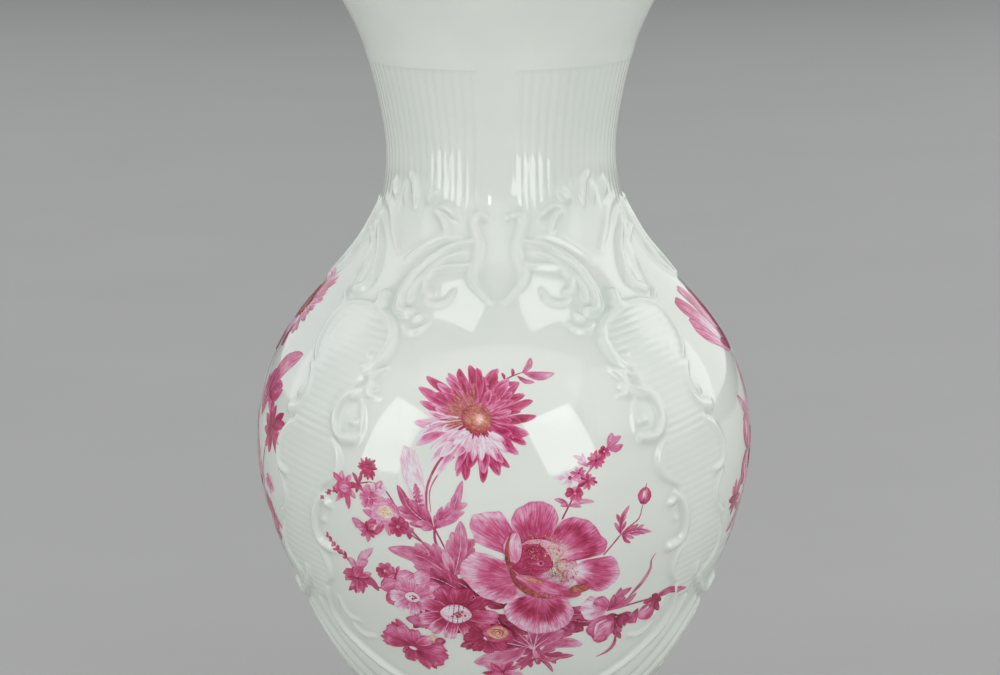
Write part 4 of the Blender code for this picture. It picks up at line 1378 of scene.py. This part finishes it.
def left_sprigs(p):
    """Two sprigs of small flowers that reach out to the left."""
    p.stem([(-13.2, -12.5), (-14.5, -11.0), (-16.5, -8.8), (-18.5, -6.1), (-20.4, -3.0), (-22.3, -1.2),
            (-24.7, -0.8)], 0.16)
    p.stem([(-14.5, -11.0), (-16.2, -10.0), (-17.8, -8.8)], 0.13)
    p.stem([(-24.7, -0.9), (-28.0, -1.6), (-32.0, -3.1), (-34.4, -3.8)], 0.13)
    for place, size in (((-31.9, -2.9), 0.80), ((-33.4, -3.6), 0.62), ((-34.8, -4.6), 0.50)):
        p.blossom(place, size, 40, 4, 0.72, 1.0, "bloom")
    p.star((-29.7, -2.2), 2.9, 95, 8, 0.56, 1.2)
    p.ruffle((-29.9, -2.6), 1.7, 1.1, 90, 0.62, 0.12, 7)
    p.disc("bloom", (-29.6, -2.3), 1.4, (0.6, 0.42, 0.5, 0.62), 0.9)
    p.tuft((-26.9, -1.3), [(-27.9, 0.5), (-27.2, -3.0), (-26.0, 0.6), (-25.9, -2.6)], 0.42, 0.6)
    p.star((-24.7, 1.6), 2.2, 20, 13, 0.74, 0.95)
    p.disc("bloom", (-24.7, 1.5), 1.0, (0.8, 0.7, 0.75, 0.8))
    p.blossom((-22.2, -1.8), 1.5, 20, 5, 0.14, 1.0, "bloom")
    p.ruffle((-24.4, -3.6), 2.1, 1.0, 80, 0.46, 0.14, 7)
    p.tuft((-23.4, -2.4), [(-25.4, -1.6), (-22.0, -0.6), (-21.4, -2.2), (-23.6, -0.8)], 0.55, 0.24)
    p.star((-21.6, -6.9), 3.7, -30, 9, 0.52, 0.9)
    p.ruffle((-21.4, -5.9), 2.7, 0.95, 10, 0.40, 0.1, 8)
    p.disc("bloom", (-21.4, -5.9), 2.0, (0.30, 0.16, 0.20, 0.34), 0.95)
    p.disc("amber", (-21.2, -5.9), 1.3, (0.20, 0.24, 0.20, 0.12), 0.95)
    p.speckle((-21.2, -5.8), 0.7, 9, (0.5, 0.7, 0.4), 0.14)
    p.blade((-24.8, -9.0), (-28.2, -7.6), 0.85, 0.46, -0.16)
    p.blade((-24.8, -9.2), (-27.6, -9.3), 0.60, 0.42, 0.12)
    p.star((-25.0, -9.7), 2.2, 40, 8, 0.68)
    p.ruffle((-18.8, -8.4), 1.9, 0.95, 20, 0.74, 0.16, 7)
    p.tuft((-17.4, -8.9), [(-16.0, -8.6), (-16.6, -10.6), (-17.4, -7.4)], 0.45, 0.72)
    # lower one: a half open flower, a leafy tip and a bud
    p.stem([(-27.6, -18.7), (-30.0, -15.7), (-32.0, -14.1), (-34.4, -12.2)], 0.15)
    p.sprig([(-29.2, -16.6), (-31.4, -14.7), (-34.3, -12.1)], 1.15, 6, 0.72, 26)
    p.tuft((-27.8, -18.4), [(-26.5, -13.9), (-24.0, -13.0), (-29.6, -15.6), (-25.2, -15.6)], 0.85, 0.42)
    p.tuft((-27.6, -18.6), [(-30.9, -20.6), (-30.3, -22.8), (-28.5, -23.2), (-26.9, -23.0),
                            (-31.3, -19.2)], 0.80, 0.72)
    p.tuft((-27.2, -18.6), [(-24.2, -20.7), (-23.2, -21.8), (-25.6, -20.2)], 0.70, 0.76)
    p.star((-27.8, -19.6), 3.3, -90, 9, 0.66, 0.9)
    p.disc("bloom", (-27.6, -18.3), 1.4, (0.5, 0.55, 0.7, 0.7), 0.8, 60)
    p.ruffle((-21.7, -17.4), 1.9, 0.95, 20, 0.68, 0.16, 7)
    p.star((-19.6, -17.8), 1.9, 30, 8, 0.55, 0.9)
    p.stem([(-24.2, -20.7), (-21.8, -21.4), (-19.5, -22.0)], 0.15)


def rosettes(p):
    """Pale rose, the dark rosettes beside it, and the flower seen from the side under them."""
    for place, size, depth in (
        ((-17.8, -18.3), 1.8, 0.34), ((-14.8, -18.2), 1.8, 0.30), ((-13.0, -20.4), 1.9, 0.28),
        ((-21.0, -20.2), 1.9, 0.42), ((-20.0, -22.8), 2.0, 0.50),
    ):
        p.disc("bloom", place, size, (depth, depth - 0.04, depth, depth + 0.16), 0.9, 30)
    p.ruffle((-16.5, -22.3), 4.5, 0.80, -10, 0.46, 0.34, 8, 0.16)
    p.brush("leaf", [(-9, -27.5), (-14, -27.6), (-18, -27.2)], 1.4, ROUNDED, (0.85, 0.72, 0.5, 0.6))
    side = (-16.7, -33.4)
    fans = (
        (148, 30, 7, 6.6, 0.74), (-32, 28, 7, 6.4, 0.80), (70, 26, 3, 3.4, 0.66), (-110, 30, 4, 3.2, 0.86),
    )
    for middle, spread, count, reach, depth in fans:
        for angle in np.linspace(middle - spread, middle + spread, count):
            path = [polar(side, reach * share * (1 + p.jitter(0.08)), angle + p.jitter(4))
                    for share in (0.1, 0.55, 1)]
            shade = depth + p.jitter(0.12)
            tones = (shade + 0.15, shade + 0.05, shade - 0.26, shade - 0.10)
            p.brush("bloom", path, 0.92, LOBED, tones, wave=0.06)
    fans = (
        (150, 26, 6.2, 0.62), (172, 22, 5.6, 0.72), (122, 22, 4.6, 0.55), (-30, 26, 6.4, 0.70),
        (-54, 24, 5.2, 0.80), (-6, 22, 5.4, 0.66), (84, 30, 3.3, 0.60), (-104, 34, 3.4, 0.74),
        (28, 26, 3.6, 0.52),
    )
    for direction, spread, reach, depth in fans:
        reaches = [reach * share for share in FAN_RIM]
        tones = (depth + 0.25, depth + 0.15, depth + 0.02, depth - 0.12, depth - 0.20)
        p.petal("bloom", polar(side, 0.5, direction), direction, spread, reaches, tones, 0.03, 9, 0.7)
    p.disc("bloom", side, 1.5, (0.85, 0.8, 0.85, 0.85), 0.55, -32)
    p.disc("bloom", (-16.8, -34.0), 0.85, (0.08, 0.05, 0.10, 0.3), 0.45, -20)
    p.disc("amber", (-12.8, -31.4), 1.0, (0.24, 0.14, 0.24, 0.4), 0.6, -60)
    p.disc("bloom", (-11.6, -31.9), 1.0, (0.7, 0.5, 0.7, 0.8), 0.9)
    p.ruffle((-8.6, -25.3), 6.7, 0.80, -5, 0.80, 0.42, 11, 0.36)
    p.ruffle((-3.0, -30.6), 4.3, 0.74, -5, 0.84, 0.20, 8)
    p.disc("bloom", (-1.5, -29.6), 2.5, (0.62, 0.40, 0.50, 0.70), 0.80, -10)
    p.disc("amber", (-1.4, -29.3), 1.9, (0.46, 0.34, 0.40, 0.48), 0.76, -10)
    for reach in (0.55, 1.05):
        path = [polar((-1.4, -29.5), reach, angle) for angle in (200, 110, 20, -60)]
        p.brush("bloom", path, 0.16, NARROW, (0.8, 0.7, 0.7, 0.8), (7, 3))


def lower_leaves(p):
    """Leaves and cut stems under the bouquet."""
    for base, tip, half_width, depth, bend in (
        ((-2.0, -25.5), (2.6, -31.4), 2.6, 0.92, 0.10), ((2.0, -25.5), (7.4, -30.2), 2.6, 0.90, -0.10),
        ((6.0, -25.5), (13.6, -30.0), 2.4, 0.88, 0.10), ((9.0, -25.0), (17.0, -28.4), 2.0, 0.84, 0.12),
        ((-12.0, -26.0), (-16.6, -29.4), 2.0, 0.86, 0.10), ((-4.0, -32.0), (-8.0, -33.0), 1.6, 0.84, 0.10),
        ((-5.0, -22.0), (-9.0, -18.2), 2.6, 0.90, 0.10),
    ):
        p.leaf(base, tip, half_width, depth, bend, 3)
    p.leaf((1, -28), (3.2, -33.5), 2.2, 0.86, 0.1, 2)
    p.leaf((3, -27), (8.5, -29.5), 2.2, 0.84, 0.1, 2)
    p.leaf((8, -27.5), (15.6, -26.4), 1.5, 0.80, -0.1, 3)
    for base, tip, half_width, depth, bend in (
        ((4.6, -33.0), (-2.4, -33.6), 1.6, 0.80, 0.12), ((5.0, -33.4), (1.0, -38.0), 1.4, 0.72, -0.10),
        ((5.4, -34.0), (12.0, -35.6), 1.3, 0.70, 0.10), ((5.2, -32.4), (11.8, -30.6), 1.5, 0.78, -0.12),
    ):
        p.leaf(base, tip, half_width, depth, bend, 2)
    p.brush("leaf", [(3.6, -32.8), (0.5, -35.2), (-5.6, -36.4)], 1.8, ROUNDED, (0.75, 0.50, 0.40, 0.30),
            wave=0.04)
    p.brush("leaf", [(5.6, -34.8), (9.2, -32.4), (13.6, -33.3)], 1.2, ROUNDED, (0.80, 0.56, 0.42, 0.34),
            wave=0.04)
    p.brush("leaf", [(4.8, -34.0), (6.4, -31.6), (10.2, -29.6)], 1.5, ROUNDED, (0.85, 0.70, 0.50, 0.40),
            wave=0.04)
    p.brush("leaf", [(4.4, -33.5), (4.6, -31.0), (6.4, -28.6)], 1.2, ROUNDED, (0.85, 0.75, 0.60, 0.50),
            wave=0.04)
    p.stem([(5.0, -32.5), (5.3, -34.6), (5.6, -37.2)], 0.75, 0.66)
    for tip in ((-1.6, -31.4), (0.4, -30.6), (2.2, -29.8), (3.8, -29.2), (5.6, -29.4), (7.6, -30.8)):
        p.brush("leaf", [(5.3, -36.6), (4.8, -33.6), tip], 0.11, STEM, (0.4, 0.22, 0.20, 0.4))
    p.tuft((5.4, -35.6), [(9.8, -35.9), (8.2, -39.2), (2.4, -38.4)], 0.45, 0.62)
    p.star((-0.6, -38.6), 3.2, 20, 11, 0.55, 0.75)


def right_sprigs(p):
    """Spire of small flowers, and a bud on a leafy stem, to the right."""
    p.stem([(17.4, -14.2), (19.5, -11.9), (20.7, -10.6), (22.3, -9.3), (24.3, -8.0), (25.0, -6.0),
            (25.2, -5.2)], 0.15)
    p.leaf((20.6, -10.4), (22.4, -5.3), 0.95, 0.58, -0.12, 2)
    p.leaf((20.8, -10.6), (27.1, -10.8), 1.0, 0.60, -0.08, 3)
    p.tuft((21.0, -10.7), [(22.7, -12.4), (23.8, -9.2)], 0.45, 0.66)
    p.bud((25.5, -3.9), 1.6, 78, 0.50)
    p.stem([(25.7, -2.4), (26.0, -1.7)], 0.10)
    p.stem([(9.9, -6.8), (11.0, -4.6), (12.0, -2.8), (13.1, -0.5), (15.6, 2.4), (17.5, 4.6), (19.0, 6.0)],
           0.16)
    p.tuft((11.1, -4.5), [(8.5, -3.1), (15.7, -4.0), (9.6, -4.3), (13.4, -4.8)], 0.42, 0.46)
    p.blossom((12.2, -2.3), 1.6, 90, 7, 0.62, 0.9, "bloom")
    p.star((11.3, 0.5), 2.9, 165, 7, 0.20, 0.50)
    p.star((14.5, -0.3), 2.0, -10, 10, 0.68, 0.75)
    p.star((12.9, 1.2), 1.7, 60, 7, 0.40, 0.8)
    p.tuft((14.6, 2.2), [(11.9, 4.3), (13.6, 4.6), (12.6, 3.2)], 0.40, 0.22)
    p.star((16.0, 3.2), 2.1, 50, 10, 0.56, 0.85)
    p.blossom((17.6, 4.6), 1.2, 30, 5, 0.66, 0.9, "bloom")
    p.blade((18.2, 5.2), (21.2, 5.5), 0.66, 0.52, 0.16)
    p.blade((18.2, 5.2), (19.0, 7.7), 0.75, 0.44, 0.10)
    p.blade((18.0, 5.0), (20.8, 7.0), 0.70, 0.50, -0.05)


def lower_right_buds(p):
    """Rosebuds and sharp leaves that reach out to the lower right."""
    p.stem([(12, -26.8), (18, -26.0), (24, -25.2), (29, -24.6)], 0.22)
    p.brush("leaf", [(28.2, -24.9), (32.4, -23.8), (37.0, -24.0)], 0.75, LOBED, (0.75, 0.55, 0.45, 0.62))
    p.brush("leaf", [(22.6, -23.6), (25.6, -20.6), (27.2, -18.0), (27.2, -16.6), (28.2, -15.1)],
            0.34, POINTED, (0.6, 0.5, 0.5, 0.55))
    p.tuft((18.5, -25.8), [(21.0, -21.3), (23.2, -21.6), (24.3, -23.0), (22.0, -23.6), (19.6, -22.6)],
           0.72, 0.66)
    p.petal("bloom", (18.4, -25.6), 170, 62, (2.4, 4.2, 5.0, 5.2, 5.0, 4.2, 2.4),
            (0.5, 0.40, 0.28, 0.12, 0.10))
    p.petal("bloom", (18.6, -25.4), 140, 46, (1.6, 3.0, 3.5, 3.4, 3.0, 1.8), (0.6, 0.62, 0.52, 0.42, 0.5),
            hairs=14)
    p.leaf((19.5, -27.6), (21.4, -33.0), 1.5, 0.78, 0.1, 2)
    p.leaf((21, -27.2), (24.6, -29.6), 1.4, 0.80, 0.1, 2)
    p.petal("bloom", (19.4, -27.4), -135, 48, (3.2, 5.8, 6.4, 6.0, 5.8, 4.6, 2.8),
            (0.7, 0.62, 0.5, 0.44, 0.56), hairs=16)
    p.disc("bloom", (17.6, -29.9), 2.2, (0.34, 0.30, 0.36, 0.62), 0.9, 40)
    p.brush("bloom", [(15.9, -31.0), (16.4, -28.8), (18.4, -28.0)], 0.28, NARROW, (0.1, 0.12, 0.2, 0.3))
    p.tuft((20.5, -27.4), [(18.0, -27.6), (22.8, -28.8), (21.6, -30.6)], 0.62, 0.84)
    p.disc("bloom", (26.9, -27.7), 2.2, (0.50, 0.34, 0.42, 0.66), 0.78, 30)
    p.brush("bloom", [(25.4, -28.4), (26.8, -26.8), (28.6, -26.6)], 0.24, NARROW, (0.15, 0.12, 0.2, 0.3))
    p.tuft((29.2, -25.4), [(26.0, -25.6), (27.4, -26.8), (29.6, -27.8), (30.3, -25.6), (28.0, -24.0)],
           0.66, 0.80)
    p.tuft((24.8, -26.6), [(24.4, -30.0), (23.2, -28.2)], 0.55, 0.72)
    p.brush("leaf", [(20.2, -31.6), (20.0, -34.0), (18.6, -35.6), (16.4, -36.5)], 0.34, POINTED,
            (0.7, 0.6, 0.55, 0.6))


def aster_bouquet(relief, centre, seed):
    """A tall bouquet under an aster, for a side reserve."""
    p = Panel(relief, centre, seed)
    p.stem([(2, 20), (4, 12), (4, 4), (1, -6), (0, -16)], 0.24)
    p.stem([(16, 8), (13, 2), (8, -5), (1, -12)], 0.20)
    p.brush("leaf", [(9.6, 8.6), (13.6, 11.6), (17.0, 12.6)], 1.7, ROUNDED, (0.86, 0.70, 0.55, 0.60),
            wave=0.05)
    p.brush("leaf", [(9.8, 9.4), (13.8, 15.6), (19.0, 19.0)], 2.1, ROUNDED, (0.80, 0.54, 0.40, 0.50),
            wave=0.05)
    p.brush("leaf", [(9.8, 9.4), (12.6, 16.0), (15.2, 18.8)], 1.3, ROUNDED, (0.80, 0.64, 0.50, 0.60),
            wave=0.05)
    p.leaf((11, 10), (17.5, 12.0), 2.0, 0.62, 0.1, 2)
    p.leaf((8, 6), (10.5, 15), 2.2, 0.66, -0.1, 3)
    p.leaf((-1, 2), (-12, 9), 2.8, 0.55, 0.12, 3)
    p.leaf((-2, -8), (-15, -6), 2.8, 0.6, -0.1, 3)
    p.leaf((2, -10), (14.2, -13.5), 2.6, 0.66, -0.1, 3)
    p.leaf((0, -14), (-9, -21), 2.3, 0.7, 0.1, 3)
    p.leaf((0, -14), (6, -23), 2.2, 0.7, -0.1, 2)
    p.stem([(-2, 4), (-8, 12), (-13, 18), (-15, 24)], 0.16)
    p.sprig([(-11, 15.5), (-13.6, 20), (-14.6, 25.5)], 2.2, 6, 0.6)
    p.blossom((-12.4, 17.2), 2.2, 20, 5, 0.5)
    p.bud((-15.2, 11.0), 1.7, 140, 0.6)
    p.stem([(-4, 4), (-10, 8), (-15, 11)], 0.14)
    p.star((16.2, 4.8), 4.9, 80, 10, 0.80, 0.95)
    p.star((15.8, 5.2), 3.0, 60, 7, 0.85)
    p.ruffle((7.4, -12.6), 4.6, 0.85, 10, 0.78, 0.36, 9)
    p.ruffle((-9.0, -12.6), 4.4, 0.85, -15, 0.60, 0.32, 9, 0.25)
    p.blossom((13.2, -5.4), 2.4, 40, 5, 0.45)
    p.bud((-14.4, 0.6), 1.8, 160, 0.6)
    p.open_flower((-1.2, -2.6), 0.72)
    p.aster((1.8, 27.0), 9.4, 120, 200)
    return p


def tulip_bouquet(relief, centre, seed):
    """A tall bouquet round a half open tulip, for a side reserve."""
    p = Panel(relief, centre, seed)
    p.stem([(-4, 16), (-2, 9), (-1, 0), (0, -9), (0, -16)], 0.24)
    p.blade((-4.8, 14.4), (-2.6, 0.6), 1.0, 0.45, 0.05)
    p.blade((-3.0, 12.0), (3.4, 4.0), 1.1, 0.6, 0.08)
    p.leaf((-1, 4), (-12.5, 9.4), 2.2, 0.45, -0.1, 3)
    p.leaf((0, 2), (12, 9), 2.8, 0.55, 0.1, 3)
    p.leaf((0, -12), (-12.6, -15.4), 2.6, 0.66, 0.1, 3)
    p.leaf((0, -12), (13, -15.6), 2.6, 0.62, -0.1, 3)
    p.leaf((0, -15), (-3.6, -23.5), 2.0, 0.7, 0.1, 2)
    p.leaf((0, -15), (6, -22.5), 2.0, 0.7, -0.1, 2)
    p.stem([(0, 2), (6, 12), (11, 19), (13, 24)], 0.16)
    p.sprig([(9.6, 17), (12.0, 21.4), (13.4, 27)], 2.2, 6, 0.6)
    p.star((10.4, 18.2), 3.0, 40, 7, 0.62)
    p.blossom((6.4, 13.4), 2.5, 10, 5, 0.42)
    p.bud((14.8, 12.4), 1.9, 50, 0.6)
    p.stem([(2, 3), (8, 8), (14, 11.4)], 0.14)
    p.ruffle((9.2, -7.4), 5.4, 0.86, 15, 0.80, 0.38, 10)
    p.star((-13.4, -8.6), 3.6, 30, 9, 0.72)
    p.blossom((13.6, -0.6), 2.5, 30, 5, 0.45)
    p.bud((-8.6, 2.4), 3.2, 100, 0.40)
    p.bud((-9.4, -4.0), 3.2, 80, 0.55)
    p.ruffle((-3.4, -3.6), 6.2, 0.9, -10, 0.58, 0.30, 10, 0.25)
    p.tulip((-4.4, 16.8), 15.6, 118)
    return p


# Colours of the enamels from their thinnest to their deepest
ENAMEL_TONES = [
    (0.00, (0.83, 0.81, 0.83)),
    (0.18, (0.81, 0.54, 0.67)),
    (0.38, (0.74, 0.25, 0.43)),
    (0.58, (0.63, 0.095, 0.235)),
    (0.78, (0.46, 0.034, 0.115)),
    (1.00, (0.27, 0.012, 0.050)),
]
LEAF_TONES = [
    (0.00, (0.83, 0.81, 0.83)),
    (0.20, (0.78, 0.52, 0.64)),
    (0.42, (0.68, 0.23, 0.385)),
    (0.64, (0.55, 0.083, 0.205)),
    (0.84, (0.38, 0.031, 0.103)),
    (1.00, (0.23, 0.013, 0.047)),
]
AMBER_TONES = [
    (0.00, (0.84, 0.80, 0.70)),
    (0.20, (0.78, 0.59, 0.38)),
    (0.42, (0.66, 0.31, 0.18)),
    (0.62, (0.50, 0.13, 0.115)),
    (0.82, (0.36, 0.055, 0.066)),
    (1.00, (0.22, 0.022, 0.034)),
]
ENAMEL_GLOSS = (0.05, 0.11)  # roughness
ENAMEL_IOR = 1.5
WASH_DRIFT = 0.10  # how far a wash strays in depth of colour
BRUSH_MARK = 0.02 * MM


def enamel(name, tones, streak=0.15, across=3.2, along=0.35):
    """Glossy enamel laid with a fine brush: streaks along each stroke over its own depth of colour."""
    n = Nodes(name)
    depth = n.attribute("depth").outputs["Fac"]
    stroke = n.attribute("stroke").outputs["Vector"]
    fine = n.scaled(stroke, (across, along, 1.7))
    hairs = n.noise(fine, 1.0, 3, 0.6)
    wash = n.scaled(stroke, (0.55, 0.45, 2.3))
    pooled = n.noise(wash, 1.0, 2)
    tone = n.math("ADD", depth, n.span(hairs, 0.28, 0.72, -streak, streak))
    tone = n.math("ADD", tone, n.span(pooled, 0.3, 0.7, -WASH_DRIFT, WASH_DRIFT))
    n.feed(n.shader, "Base Color", n.ramp(tone, tones))
    n.feed(n.shader, "Roughness", n.span(pooled, 0.3, 0.7, *ENAMEL_GLOSS))
    n.shader.inputs["IOR"].default_value = ENAMEL_IOR
    bump = n.add("ShaderNodeBump", {"Height": hairs, "Strength": 0.15, "Distance": BRUSH_MARK})
    n.feed(n.shader, "Normal", bump.outputs["Normal"])
    return n.material


def painting(relief):
    """Enamel bouquets in the four reserves, all turned a little towards the photograph's camera."""
    materials = {
        "bloom": enamel("crimson_bloom_enamel", ENAMEL_TONES),
        "leaf": enamel("crimson_leaf_enamel", LEAF_TONES, 0.11, 2.6, 0.5),
        "amber": enamel("amber_enamel", AMBER_TONES, 0.16, 2.6, 1.6),
    }
    main_bouquet(relief, BOUQUET_TURN, 11).finish("front", materials)
    main_bouquet(relief, 180 - BOUQUET_TURN, 23, -1).finish("back", materials)
    aster_bouquet(relief, 270 + BOUQUET_TURN, 5).finish("left", materials)
    tulip_bouquet(relief, 90 + BOUQUET_TURN, 8).finish("right", materials)


# ---------------------------------------------------------------- studio
CAMERA_DISTANCE = 1.0
CAMERA_AZIMUTH = math.radians(1.6)
CAMERA_HEIGHT = 0.2457
CAMERA_AIM = (-0.0005, 0, 0.083)
CAMERA_ROLL = math.radians(-0.6)
CAMERA_LENS = 205.6


def camera():
    """A long lens at the photograph's angle."""
    data = bpy.data.cameras.new("camera")
    data.lens = CAMERA_LENS
    data.sensor_width = 36
    data.clip_start = 0.01
    made = bpy.data.objects.new("camera", data)
    bpy.context.scene.collection.objects.link(made)
    place = Matrix.Rotation(CAMERA_AZIMUTH, 3, "Z") @ Vector((0, -CAMERA_DISTANCE, CAMERA_HEIGHT))
    turn = (Vector(CAMERA_AIM) - place).to_track_quat("-Z", "Y")
    made.location = place
    made.rotation_euler = (turn.to_matrix() @ Matrix.Rotation(CAMERA_ROLL, 3, "Z")).to_euler()
    bpy.context.scene.camera = made


# Area lights aimed at the vase's middle: azimuth from the front towards +X and elevation in degrees,
# distance, width and height in metres, power in watts, and roll in degrees
LIGHTS = {
    "key_left": (-49.1, 6.6, 0.43, 0.146, 0.262, 0.30, -23),
    "key_right": (27.0, 6.8, 0.43, 0.183, 0.228, 0.39, 22),
    "top_left": (-58, 71.0, 0.94, 0.30, 0.13, 0.26, 20),
    "top_right": (60, 71.0, 0.94, 0.30, 0.13, 0.26, -20),
    "fill": (0, 42, 1.6, 2.2, 1.4, 7.5, 0),
    "fill_left": (-60, 25, 1.2, 0.8, 0.8, 1.2, 0),
    "fill_right": (60, 25, 1.2, 0.8, 0.8, 1.2, 0),
    "side_left": (-98, 25, 1.1, 1.0, 0.9, 1.6, 0),
    "side_right": (98, 25, 1.1, 1.0, 0.9, 2.4, 0),
    "back_left": (-140, 27, 1.3, 1.5, 1.1, 3.4, 0),
    "back_right": (140, 27, 1.3, 1.5, 1.1, 4.6, 0),
    "glint": (-9.6, 18.8, 0.7, 0.032, 0.058, 0.055, 0),
}
ROOM_TONE = (0.9, 0.95, 1, 1)
ROOM_LIGHT = 0.16
FLOOR_HALF = 3.0
PAPER_TONES = ((0.50, 0.50, 0.49, 1), (0.54, 0.54, 0.53, 1))
PAPER_SCALE = 12
PAPER_ROUGHNESS = 0.8


def softbox(name, azimuth, elevation, distance, width, height, power, roll):
    """A rectangular light that the camera doesn't see itself."""
    data = bpy.data.lights.new(name, "AREA")
    data.shape = "RECTANGLE"
    data.size, data.size_y = width, height
    data.energy = power
    made = bpy.data.objects.new(name, data)
    made.visible_camera = False
    bpy.context.scene.collection.objects.link(made)
    a, e = math.radians(azimuth), math.radians(elevation)
    middle = Vector((0, 0, HEIGHT / 2))
    away = Vector((math.sin(a) * math.cos(e), -math.cos(a) * math.cos(e), math.sin(e)))
    made.location = middle + distance * away
    turn = (middle - made.location).to_track_quat("-Z", "Y").to_matrix()
    made.rotation_euler = (turn @ Matrix.Rotation(math.radians(roll), 3, "Z")).to_euler()


def room():
    """Soft light from all round, and the paper floor."""
    scene = bpy.context.scene
    world = bpy.data.worlds.new("studio")
    scene.world = world
    world.use_nodes = True
    background = world.node_tree.nodes["Background"]
    background.inputs["Color"].default_value = ROOM_TONE
    background.inputs["Strength"].default_value = ROOM_LIGHT
    n = Nodes("floor_paper")
    place = n.add("ShaderNodeNewGeometry").outputs["Position"]
    n.feed(n.shader, "Base Color", n.mix(n.noise(place, PAPER_SCALE, 3), *PAPER_TONES))
    n.shader.inputs["Roughness"].default_value = PAPER_ROUGHNESS
    corners = [(x * FLOOR_HALF, y * FLOOR_HALF, 0) for x, y in ((-1, -1), (1, -1), (1, 1), (-1, 1))]
    floor = make_mesh("floor", corners, [(0, 1, 2, 3)])
    floor.data.materials.append(n.material)
    scene.view_settings.view_transform = "Standard"


glaze = porcelain("white_glaze")
sections(glaze)
relief = quarter_relief()
relief_pieces(relief, glaze)
painting(relief)
camera()
for name, settings in LIGHTS.items():
    softbox(name, *settings)
room()
